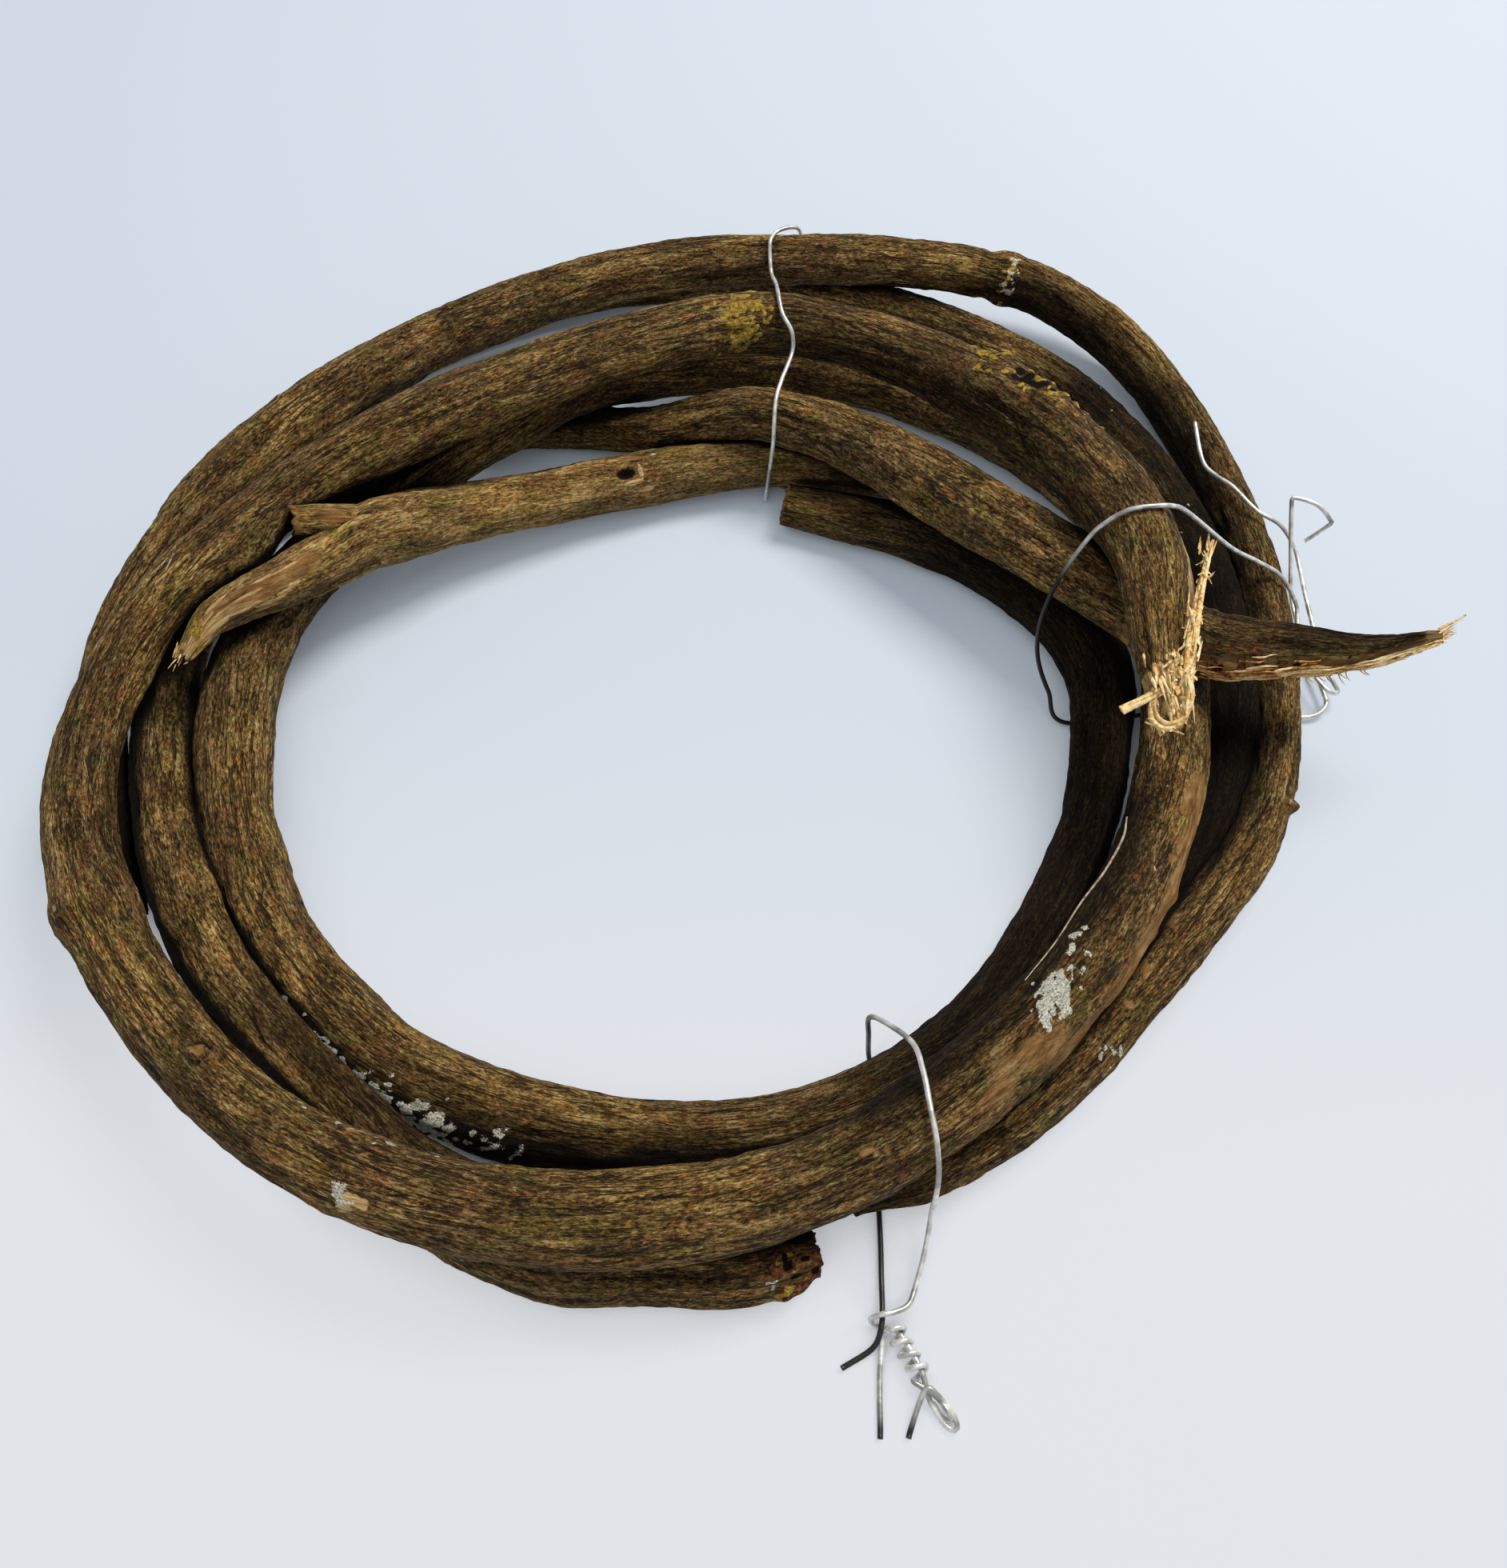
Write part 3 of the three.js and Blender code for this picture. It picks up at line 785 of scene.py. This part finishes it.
TOP_TIE = [
    (24, 118, 1), (24, 140, 1), (25, 148, 1.8), (26, 151, 5), (27.5, 150, 11), (28, 146.5, 20),
    (27, 142.5, 26.4), (24, 141, 27.8), (20.5, 138.5, 28.1), (18.8, 134.7, 27.8), (18.8, 130, 24.5),
    (19.2, 126, 23.5), (20, 108, 34.5), (20.3, 96, 41.6), (21.5, 88.6, 40.2), (24, 85.2, 37),
    (24.2, 83.2, 32), (21.5, 74, 31.4), (19.8, 67.4, 30.2), (19.3, 62.4, 26), (19.1, 61.6, 20),
    (17.8, 58.6, 9), (17.3, 59.5, 3), (17.5, 63, 1), (18.5, 90, 1), (18.8, 108, 1),
]  # fmt: skip
RIGHT_TIE = [
    (157, 37, 10), (161.3, 37.2, 16), (161.4, 37.8, 16.8), (157.5, 40, 20), (152, 42.2, 20.4),
    (151.4, 41.2, 19), (152.3, 32, 10),
    (152.5, 22, 4), (153, 8, 3.2), (154.5, -4, 3), (154.5, -10, 2.6), (150, -12.5, 1.4),
    (140, -11.5, 1), (120, -10, 1), (91, -14, 1), (86, -8, 6), (82.5, -3, 14), (82, 0, 24),
    (84.5, 3, 35), (89.8, 6.8, 44.5), (92.7, 6.7, 49.8), (96.7, 7, 53.2), (101.8, 7.2, 54.3),
    (107, 8.4, 53), (112, 10.5, 48.5), (128, 17, 30), (139.5, 23, 18), (146.5, 22, 13.6),
    (150.7, 16.6, 9), (150.4, 8, 6.2), (151.5, -1, 6), (154, -7.5, 6), (157.5, -7, 4.4),
    (157.2, -1, 3.4), (155.6, 10, 5), (155, 22, 6.5), (155.5, 31, 6.5), (154.5, 36.5, 8.5),
    (150.5, 40.5, 12.3), (144.4, 43.7, 14.3), (139.7, 52.1, 14.4), (136.6, 56.8, 13.5),
    (134.2, 62.9, 12.9), (133.5, 75, 15.2),
]  # fmt: skip
FRONT_TIE = [
    (30.5, -161, 0.8), (36.5, -157.5, 1.4), (38.2, -154, 2.5), (38.6, -150.5, 2.3),
    (38.8, -145, 1.1), (39, -136, 1), (38.8, -118, 1), (38.6, -102.5, 1), (38.2, -99.6, 3),
    (37.6, -99.2, 12), (37, -99.5, 22), (39.5, -101.5, 25), (44.5, -107, 28), (45.8, -113.5, 30.8),
    (46.5, -120, 31.6), (47.5, -126.5, 30), (48.3, -130.8, 24), (48.7, -132.8, 14), (48.5, -134, 9),
    (47.3, -140, 4.5), (45, -147, 2.8), (43.4, -150.2, 3.6), (40.6, -151.6, 4.3), (38.4, -152, 4.5),
    (36.4, -152.4, 3), (37, -153.2, 1), (39, -153.8, 0.9), (41.2, -154.6, 2.2), (43.8, -158.6, 2.8),
    (45.6, -162.5, 2.6), (46.4, -166, 1.8), (48.2, -169.2, 1.0), (50.2, -171.4, 0.9),
    (51.4, -171.2, 1.6), (50.6, -168.8, 2.2), (48.2, -166.2, 3.2), (46.2, -164.8, 4.2), (44.9, -166.4, 3),
    (42.9, -171.4, 1), (42.4, -172.9, 0.8),
]  # fmt: skip
LACING_START = [(37.2, -173, 0.8), (37.3, -171.4, 0.8), (37.6, -163, 0.9), (38.4, -156, 1.6)]
LACED_FROM, LACED_TO = (40.4, -153.9, 2.6), (45.4, -162.8, 2.6)
LACING_END = [
    (47.6, -165.8, 2.2), (49.4, -168.2, 3), (50.3, -169.9, 2.2), (48.9, -169.4, 1), (47.2, -167, 1.4),
]  # fmt: skip
LACING_RADIUS = 1.7
LACING_TURNS = 4
POINTS_PER_TURN = 8


def lacing_points():
    """A free end, a helix round the front tie's ends, and the other free end."""
    start, end = np.array(LACED_FROM), np.array(LACED_TO)
    ahead = (end - start) / np.linalg.norm(end - start)
    side = np.cross(UP, ahead)
    side /= np.linalg.norm(side)
    top = np.cross(ahead, side)
    count = LACING_TURNS * POINTS_PER_TURN
    turns = [
        start
        + (end - start) * i / count
        - LACING_RADIUS * math.cos(2 * math.pi * i / POINTS_PER_TURN) * side
        + LACING_RADIUS * math.sin(2 * math.pi * i / POINTS_PER_TURN) * top
        for i in range(count + 1)
    ]
    return [*LACING_START, *turns, *LACING_END]


# ---- Forked twig: [x, y, height, thickness] ----

TWIG_STEM = [
    (59, 62, 6.5, 12), (38, 66, 7, 13), (18, 67, 8, 13.5), (-2, 64, 8, 14), (-22, 58, 9, 14.5),
    (-42, 50, 12, 14.5), (-62, 40, 16.5, 15), (-80, 28, 22, 16.5), (-85, 23.5, 23.2, 9),
]  # fmt: skip
TWIG_BRANCH = [
    (-62, 39.5, 16, 9), (-71, 34, 19, 13.5), (-81, 27, 22, 15), (-88, 19, 24, 13.5), (-97, 10, 26, 12.5),
    (-110, -3, 29, 8.5), (-116, -15, 28, 3.5),
]  # fmt: skip
TWIG_STUB = [(-66, 36, 18, 8), (-77, 30, 22.5, 10.5), (-87, 27, 27.5, 9.5), (-97, 24, 31, 8)]


def twig_bark(stations, seed):
    """The bark of one arm of the forked twig, through its stations."""
    rows = np.array(stations, float)
    rows[:, :3] += RING_MIDDLE
    rows[:, 3] /= 2
    rows = spaced(rows * MM, TWIG_STEP)
    bark = Bark(rows[:, :3], rows[:, 3], seed, TWIG_SIDES)
    bark.roughen(0.8)
    return bark


def frayed(rng, path, count, length, width, spread):
    """Short chips that stand every way along a path in metres, as on wood torn across its fibres."""
    line = spaced(path, FIBRE_STEP)
    made = []
    for _ in range(count):
        row = rng.integers(0, len(line) - 1)
        root = line[row] + rng.normal(0, 0.5 * spread, 3) * MM
        along = line[row + 1] - line[row]
        way = along / np.linalg.norm(along) * rng.choice([-1, 1]) + 0.36 * rng.normal(0, 1, 3)
        reach = length * rng.uniform(0.4, 1.2) * MM
        bend = 0.15 * reach * rng.normal(0, 1, 3)
        points = np.array([root, root + 0.5 * reach * way, root + reach * way + bend])
        made.append(fibre(points, width * rng.uniform(0.5, 1.5), 0.7 * width, 0.4))
    return made


# ---- Build ----

BARK = bark_material(
    "bark",
    ((0.012, 0.006, 0.003), (0.128, 0.071, 0.02), (0.33, 0.203, 0.06), (0.66, 0.48, 0.21)),
)
TWIG = bark_material(
    "twig_bark",
    ((0.04, 0.02, 0.008), (0.225, 0.128, 0.036), (0.47, 0.30, 0.094), (0.75, 0.57, 0.27)),
    cracks=0.6,
)
TORN = torn_material("torn_wood", ((0.42, 0.2, 0.05), (0.82, 0.56, 0.22), (0.95, 0.78, 0.45)))
BARK_FIBRE = torn_material("bark_fibre", ((0.09, 0.03, 0.008), (0.46, 0.2, 0.05), (0.78, 0.46, 0.16)))
DRY = torn_material("dry_fibre", ((0.12, 0.08, 0.05), (0.36, 0.28, 0.18), (0.62, 0.52, 0.38)))
WIRE = wire_material()


def rest_on_frame(made, slot, *nodes):
    """Fix a piece to the frame, in the place of some of its solids."""
    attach(made, "root")
    if nodes:
        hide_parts(*nodes)


def long_stem():
    """The outermost turns. It starts at a sawn end under the tie and stops in a torn end at the right."""
    bark = stem_bark("long_stem", (0, 1), seed=11, step=LONG_STEP, sides=LONG_SIDES)
    end = bark.run[-1] / MM
    bark.tear(0, 0.25, 3, "rubbed", hollow=0.4)
    # a kink and knots
    bark.swell(1120, 9, 0.5)
    bark.bumps((400, -75, 9, 8, -1.5), (1121, 60, 7, 9, 1.1))
    bark.bumps((1074, -14, 1.6, 1.4, 0.8), (1075, -20, 5, 5, 0.6))
    bark.ring("dark", 1074, -14, 3.2, 1.5)
    bark.mark("rubbed", 1074, -14, 1.5, 1.2, 1.1)
    bark.scatter("rubbed", 1122, 46, 4, 5, 7, 1.1, 0.3, 0.9)
    for at, angle, size in ((1074, -14, 1.5), (1058, -60, 0.8), (1044, -38, 0.7), (1035, -20, 0.7)):
        bark.scatter("rubbed", at, angle, size, size, 5, 0.7 * size, 0.25, 1.0)
    bark.scatters(
        ("bare", 1034, 43, 2.6, 2.4, 8, 1.5, 0.2, 1.0),
        ("lichen", 1036, 43, 3.5, 2.6, 8, 1.4, 0.1, 1.1),
        ("rubbed", 939.5, 11, 3.5, 1.2, 6, 1.0, 0.2, 1.1),
        # lichen and moss
        ("moss", 1370, -40, 7, 14, 110, 1.1, 0.25),
        ("moss", 1374, -20, 9, 7, 16, 0.8, 0.2, 0.9),
        ("lichen", 890, -6, 6, 4.5, 36, 1.3, 0.2, 1.05),
        ("lichen", 891, -5, 3.2, 2.6, 12, 1.8, 0.1, 1.3),
        ("lichen", 896, 2, 3, 2.4, 8, 1.2, 0.2, 1.1),
        ("lichen", 880, -22, 5, 4, 10, 1.1, 0.1),
        ("lichen", 323, 68, 24, 3.6, 110, 0.9, 0.15, 1.15),
        ("lichen", 316, 78, 16, 4.5, 60, 1.2, 0.1, 1.0),
        ("lichen", 334, 64, 16, 2.6, 60, 1.1, 0.1, 1.2),
        ("lichen", 1046, -62, 20, 1.6, 26, 0.8, 0.1),
        # rubbed bark
        ("rubbed", 848, 40, 14, 7, 26, 1.5, 0, 0.85),
        ("rubbed", 985, 38, 30, 9, 34, 1.2, 0, 0.75),
        ("lichen", 842, 14, 16, 6, 14, 0.6, 0, 0.8),
        # the gnarl
        ("moss", 1443, 22, 5, 6, 26, 1.3, 0.4, 1.25),
        ("moss", 1462, 28, 12, 6, 60, 1.0, 0.5, 1.05),
        ("lichen", 1466, 34, 8, 4, 12, 0.9, 0.3, 0.95),
        ("dark", 1456, 12, 6, 1.8, 10, 1.5, 0, 1.3),
        ("dark", 1466, 32, 6, 3, 8, 1.0, 0, 1.2),
    )
    bark.bumps((1452, 30, 12, 6, 1.7), (1446, 40, 4, 3, 1.2), (1461, 26, 4, 3, 1.0))
    bark.bumps((1469, 20, 5, 3, 0.9), (1456, 12, 7, 2.2, -1.8))
    for at, angle in ((832, 50), (842, 62), (854, 74), (866, 80), (880, 84), (893, 86)):
        bark.mark("rubbed", at, angle, 12, 6.5, 1.05)
    for at, angle, amount in ((903, 30, 0.72), (909, 20, 0.66), (913, 40, 0.7), (899, 46, 0.7)):
        bark.mark("rubbed", at, angle, 9, 6, amount)
    # fuller beside narrow gaps, and darker with painted shade where the stem lies in shadow
    bark.bumps((395, 85, 70, 8, 1.8), (300, 100, 44, 8, 3.2), (995, -85, 42, 9, 1.2))
    bark.bumps((92, 85, 26, 8, 3.4), (1226, -85, 15, 8, 5.0))
    bark.shade(262, 335, 0.8, angle=110)
    bark.shade(55, 205, 0.9, fade=50)
    bark.shade(0, 60, 0.35)
    bark.shade(840, 930, 0.85, angle=-95)
    bark.shade(1385, 1500, 0.55, angle=-100)
    bark.shade(1400, 1500, 0.5, angle=120)
    # torn end
    for share in np.linspace(0, 1, 14):
        bark.mark("bare", end - 40 + 40 * share, 66 - 12 * share, 4.5, 1.6 + 3 * share, 1.1)
    bark.bumps((end - 8, 42, 22, 7, -1.2), (end, -60, 12, 7, -2.2))
    bark.bumps((end, -150, 14, 9, -2.0), (end, 120, 14, 9, -2.0))
    bark.tear(1, 1.8, 12, "bare", hollow=2.0)
    return bark


def split_stem():
    """From a broken knob at the front to a split spike that points off to the right."""
    bark = stem_bark("split_stem", (0, -1), seed=12)
    end = bark.run[-1] / MM
    bark.scatters(
        ("rust", 4, 10, 5, 14, 60, 1.3, 0.45, 1.05),
        ("rust", 4, -50, 5, 12, 30, 1.3, 0.45, 1.05),
        ("moss", 6, 30, 5, 8, 10, 0.9, 0.3, 1.0),
        ("dark", 2.5, 15, 3, 5, 9, 1.1, -0.7),
        ("lichen", 9, 42, 1.5, 2, 3, 0.9, 0.3),
    )
    bark.taper(0, 7, 0.72)
    bark.tear(0, 0.8, 6, "rust", hollow=1.2)
    bark.bumps((62, -78, 34, 10, 7.0), (205, -85, 60, 8, 2.6))
    # painted shade along the stretch that runs under the big strand
    bark.shade(55, 120, 0.7, angle=-70, fade=30)
    # the split spike: bark above, torn wood below
    for share in np.linspace(0, 1, 22):
        at = end - 64 + 64 * share
        torn = "bare" if share > 0.5 else "rubbed"
        bark.mark("rubbed", at, -88, 5, 6.5 - 4 * share, 1.0)
        bark.mark(torn, at, -112 + 8 * math.sin(11 * share), 4, 3.4 - share, 1.0)
        bark.bump(at, -104, 4.5, 6, 0.85 * (1 - 0.7 * share))
    bark.scatters(
        ("rust", end - 48, -90, 18, 8, 60, 1.3, 0.15),
        ("lichen", end - 56, 0, 14, 12, 14, 0.8, 0.1, 0.85),
        ("dark", end - 46, -100, 20, 4, 30, 1.0, -0.5),
        ("dark", end - 20, -84, 14, 2, 10, 0.7, -0.3),
    )
    # painted shade on the upper side of the spike's bark
    bark.shade(end - 70, end - 4, 0.45, angle=30, fade=14)
    bark.shade(end - 30, end - 8, 0.75, angle=20, fade=14)
    bark.mark("bare", end, 0, 3, 8, 1.3)
    bark.mark("bare", end, -90, 5, 8, 1.3)
    return bark


def outer_stem():
    """The outermost stem at the back and the right, with a ring-shaped scar where it bends."""
    bark = stem_bark("outer_stem", (1, 0), seed=13)
    end = bark.run[-1] / MM
    bark.taper(0, 16, 0.3)
    bark.taper(1, 10, 0.5)
    # painted shade: at the narrow start, near black on the tail in the dark between strands, and on the
    # inner side
    bark.shade(-20, 6, 0.6)
    bark.shade(end - 40, end + 20, 0.97)
    bark.shade(115, 330, 0.85, angle=105)
    bark.swell(335.5, 5, 0.8)
    bark.swell(341, 2.5, -0.5)
    bark.bump(135, -56, 2.2, 2.2, 2.0)
    bark.scatters(
        ("lichen", 334.5, 58, 2.0, 14, 44, 1.0, 0.15, 0.9),
        ("moss", 336, 40, 2.5, 9, 14, 1.2, 0.1, 0.85),
        ("rubbed", 91, 44, 4, 3, 6, 1.6, 0, 0.9),
        ("rubbed", 76, 17, 6, 3, 8, 1.6, 0, 0.9),
        ("lichen", 62, -47, 8, 3, 10, 1.1, 0.1, 0.85),
    )
    for step in range(8):
        bark.bump(44 - 1.7 * step, -2 - 3 * step, 3, 1.2, -0.8)
    return bark


def under_stem():
    """The lowest stem, mostly in the dark between the others."""
    bark = stem_bark("under_stem", (1, 0), seed=14)
    bark.bumps((105, -85, 75, 9, 3.4), (170, 85, 36, 8, 3.2))
    # painted shade where it lies in the dark between the others
    bark.shade(25, 150, 0.95, fade=30)
    bark.shade(145, 203, 0.85)
    bark.scatter("lichen", 180, -10, 38, 9, 10, 0.6, amount=0.95)
    return bark


def twig():
    """The stem, the branch and the stub, which grow out of one swollen fork."""
    stem = twig_bark(TWIG_STEM, 21)
    # the knot hole, painted black inside as painted shade, and its rim
    stem.bumps((81.6, 22, 3.6, 2.5, -3.0), (80, 46, 4.0, 1.2, 1.0), (77.5, 24, 1.0, 2.8, 1.0))
    stem.mark("dark", 81.6, 22, 3.8, 2.5, 1.3)
    stem.mark("bare", 80, 46, 3.6, 0.8, 1.15)
    stem.mark("bare", 77.6, 26, 0.8, 2.8, 1.15)
    stem.mark("rubbed", 78, -14, 6, 1.6, 1.1)
    stem.mark("lichen", 72.5, -18, 1.2, 0.9, 1.4)
    stem.mark("bare", 77, 64, 4, 0.9, 1.15)
    # the wrinkled fork
    stem.bumps((136, -60, 7, 6, 0.9), (138, 70, 6, 5, 0.9))
    for at in (134, 137.5, 141):
        stem.bumps((at, 8, 0.9, 6, 0.5), (at + 1.6, 8, 0.8, 6, -0.45))
    branch = twig_bark(TWIG_BRANCH, 22)
    tip = branch.run[-1] / MM
    for share in np.linspace(0, 1, 9):
        branch.mark("rubbed", tip - 36 + 34 * share, 30 + 15 * share, 6, 4, 0.95)
        branch.mark("bare", tip - 12 + 12 * share, 62, 3, 1.6, 1.0)
    for _ in range(26):
        at, angle = branch.rng.uniform((tip - 32, 0), (tip, 88))
        branch.mark("bare", at, angle, 5, 0.5, 1.05)
    branch.scatter("moss", tip - 6, 20, 4, 3, 8, 1.2)
    branch.tear(1, 1.6, 7, "bare", hollow=0.6)
    stub = twig_bark(TWIG_STUB, 23)
    stub.tear(1, 0.8, 4, "rubbed", hollow=1.2)
    stub.mark("rubbed", 28, 20, 7, 4, 0.8)
    return {"twig_stem": stem, "twig_branch": branch, "twig_stub": stub}


def torn_wood():
    """Splinters, ribbons and fibres at the torn ends."""
    rng = np.random.default_rng(31)
    peel = from_axis(
        (105, -30, 50.3), (107, -22, 51.5), (109.4, -14, 52), (111.5, -7.5, 53), (112.8, -3.5, 54)
    )
    strip = from_axis((103, -39.5, 46.5), (104.2, -34, 49.4), (105.6, -27, 50.8), (107.4, -20, 51.6))
    ribbon = from_axis(
        (103.2, -35, 49), (103.8, -40, 46.5), (102.2, -43.6, 44.5), (99, -44.8, 43.8),
        (96.4, -43.2, 44.6), (96.4, -40, 46.4), (98.4, -37.6, 47.6),
    )  # fmt: skip
    chip = from_axis((98.5, -37.5, 47.5), (94.5, -40, 47.3), (89.7, -42.2, 46.5))
    thin_chip = from_axis((98.5, -37.5, 48), (95, -39.6, 47.8), (91.5, -41.2, 47.2))
    # path in metres, width and thickness in mm, width left at the tip
    large = (
        (peel, 3.0, 1.0, 0.12),
        (peel + 0.6 * MM, 1.4, 1.6, 0.3),
        (strip, 2.8, 1.6, 0.6),
        (strip + np.array([-0.7, 0, 0.5]) * MM, 1.6, 1.4, 0.6),
        (chip, 2.0, 0.9, 1.15),
        (thin_chip, 0.8, 0.9, 0.5),
        (ribbon, 1.9, 1.2, 0.6),
        (ribbon + 0.7 * MM, 1.1, 1.4, 0.5),
    )
    made = [fibre(*row) for row in large]
    made += frayed(rng, ribbon, 70, 1.7, 0.6, 0.7)
    made += frayed(rng, strip, 120, 2.2, 0.7, 0.9)
    made += frayed(rng, peel, 90, 2.4, 0.55, 0.7)
    made += frayed(rng, from_axis((101.5, -31, 50), (101, -36, 48.5), (101, -40, 46)), 130, 2.2, 0.8, 1.6)
    for row in (
        ((101, -36, 47), (0.15, -1, -0.35), 46, 6.5, (1.7, 1.4, 1.3), 1.0, 0.1),
        ((98.2, -33.5, 49.2), (0.1, -1, -0.2), 26, 4.5, (1.2, 1.8, 0.7), 0.9, 0.16),
        ((103.6, -33.5, 48.8), (0.1, -1, -0.3), 26, 6, (0.7, 2.6, 0.9), 0.9, 0.1),
        ((105.6, -26, 51), (0.3, 1, 0.1), 24, 6, (0.7, 4, 0.6), 0.6, 0.08),
        ((110.5, -9, 52.5), (0.3, 1, 0.3), 8, 4, (0.6, 3, 0.5), 0.5, 0.12),
        ((165.2, -15.8, 38), (1, 0.25, 0.3), 22, 4.0, (0.9, 0.5, 0.6), 0.45, 0.2),
    ):
        made += tuft(rng, *row)
    # the tips of the spike and of the twig's branch
    tip = from_axis((165, -15.2, 38.8), (168, -14.4, 40.6), (170.4, -13.6, 42.2))
    made.append(fibre(tip, 0.8, 0.5, 0.5))
    made += tuft(rng, (-116.5, -13.5, 28.2), (-0.25, -1, -0.1), 12, 3.5, (1.0, 1.5, 0.8), 0.45, 0.16)
    torn = fibres_piece("torn_splinters", made, TORN)
    rest_on_frame(torn, "torn_wood")


def spike_fibres(bark):
    """Stringy wood along the torn underside of the split spike."""
    rng = np.random.default_rng(33)
    end = bark.run[-1] / MM
    made, brown = [], []
    for _ in range(190):
        share = rng.uniform(0, 1) ** 0.9
        at, angle = end - 62 + 60 * share, -102 + rng.normal(0, 15)
        ahead, lift = rng.uniform(3, 9), rng.uniform(-0.1, 0.55)
        points = [bark.place(min(at + ahead * t, end), angle + 4 * t, lift * t) for t in (0, 0.4, 0.7, 1)]
        lot = brown if share < rng.uniform(0.2, 0.75) else made
        lot.append(fibre(np.array(points), rng.uniform(0.4, 1.0), 0.5, 0.3))
    for _ in range(9):
        at = end - rng.uniform(16, 30)
        root = bark.place(at, -112, -0.2)
        way = MM * np.array([rng.uniform(0, 2.5), -rng.uniform(1.2, 2.8), -rng.uniform(0.5, 2)])
        hair = np.array([root, root + 0.6 * way, root + way + [0.6 * MM, 0, 0]])
        made.append(fibre(hair, 0.35, 0.3, 0.4))
    rest_on_frame(fibres_piece("spike_fibres", made, TORN), "torn_wood")
    rest_on_frame(fibres_piece("spike_bark_fibres", brown, BARK_FIBRE), "torn_wood")


def peeling(bark):
    """Thin strips that have come loose along a stem."""
    path = ((841, -60), (848, -52), (858, -56), (868, -60), (880, -56), (892, -50))
    strip = [(at, angle, 0.5) for at, angle in path]
    hair = ((1209, -5, 0), (1211, -4, 1.2), (1214, 2, 2.2))
    made = [
        fibre(np.array([bark.place(*row) for row in rows]), width, 0.4, tip)
        for rows, width, tip in ((strip, 0.6, 0.3), (hair, 0.5, 0.4))
    ]
    rest_on_frame(fibres_piece("loose_bark", made, DRY), "torn_wood")


def ties():
    """The wires, with the stretches painted dark given as point numbers: painted shade, and dark free ends.
    """
    last = len(FRONT_TIE) - 1
    for name, points, dark in (
        ("top_tie", TOP_TIE, ()),
        ("right_tie", RIGHT_TIE, ((12, 18),)),
        ("front_tie", FRONT_TIE, ((0, 10), (last - 1, last))),
        ("front_lacing", lacing_points(), ((0, 1),)),
    ):
        rest_on_frame(wire_piece(name + "_wire", points, WIRE, dark), "wire", name)


def stage():
    """The camera, the floor and the light."""
    scene = bpy.context.scene
    scene.view_settings.view_transform = "Standard"
    camera = bpy.data.cameras.new("camera")
    camera.lens = LENS
    holder = bpy.data.objects.new("camera", camera)
    scene.collection.objects.link(holder)
    target = (np.array(LOOK_AT) + RING_MIDDLE) * MM
    back = np.array([0, -math.cos(CAMERA_RISE), math.sin(CAMERA_RISE)])
    holder.location = target + CAMERA_AWAY * MM * back
    holder.rotation_euler = (math.pi / 2 - CAMERA_RISE, 0, 0)
    scene.camera = holder

    corners = [(x * FLOOR_HALF, y * FLOOR_HALF, 0) for x, y in ((-1, -1), (1, -1), (1, 1), (-1, 1))]
    floor = mesh_piece("floor", corners, [(0, 1, 2, 3)], floor_material())

    for name, (place, size, power, colour) in LAMPS.items():
        light = bpy.data.lights.new(name, "AREA")
        light.size = size
        light.energy = power
        light.color = colour
        made = bpy.data.objects.new(name, light)
        made.location = place
        made.rotation_euler = (-Vector(place)).to_track_quat("-Z", "Y").to_euler()
        scene.collection.objects.link(made)

    world = bpy.data.worlds.new("room")
    scene.world = world
    world.use_nodes = True
    sky = world.node_tree.nodes["Background"]
    sky.inputs["Color"].default_value = SKY_COLOUR
    sky.inputs["Strength"].default_value = SKY_STRENGTH


stage()
STEMS = {
    "long_stem": long_stem(),
    "split_stem": split_stem(),
    "outer_stem": outer_stem(),
    "under_stem": under_stem(),
}
FORKED = twig()
find_crevices([*STEMS.values(), *FORKED.values()])
for name, bark in STEMS.items():
    rest_on_frame(bark.piece(name + "_bark", BARK), "bark", name)
for name, bark in FORKED.items():
    rest_on_frame(bark.piece(name + "_bark", TWIG), "twig_bark", name)
torn_wood()
spike_fibres(STEMS["split_stem"])
peeling(STEMS["long_stem"])
ties()
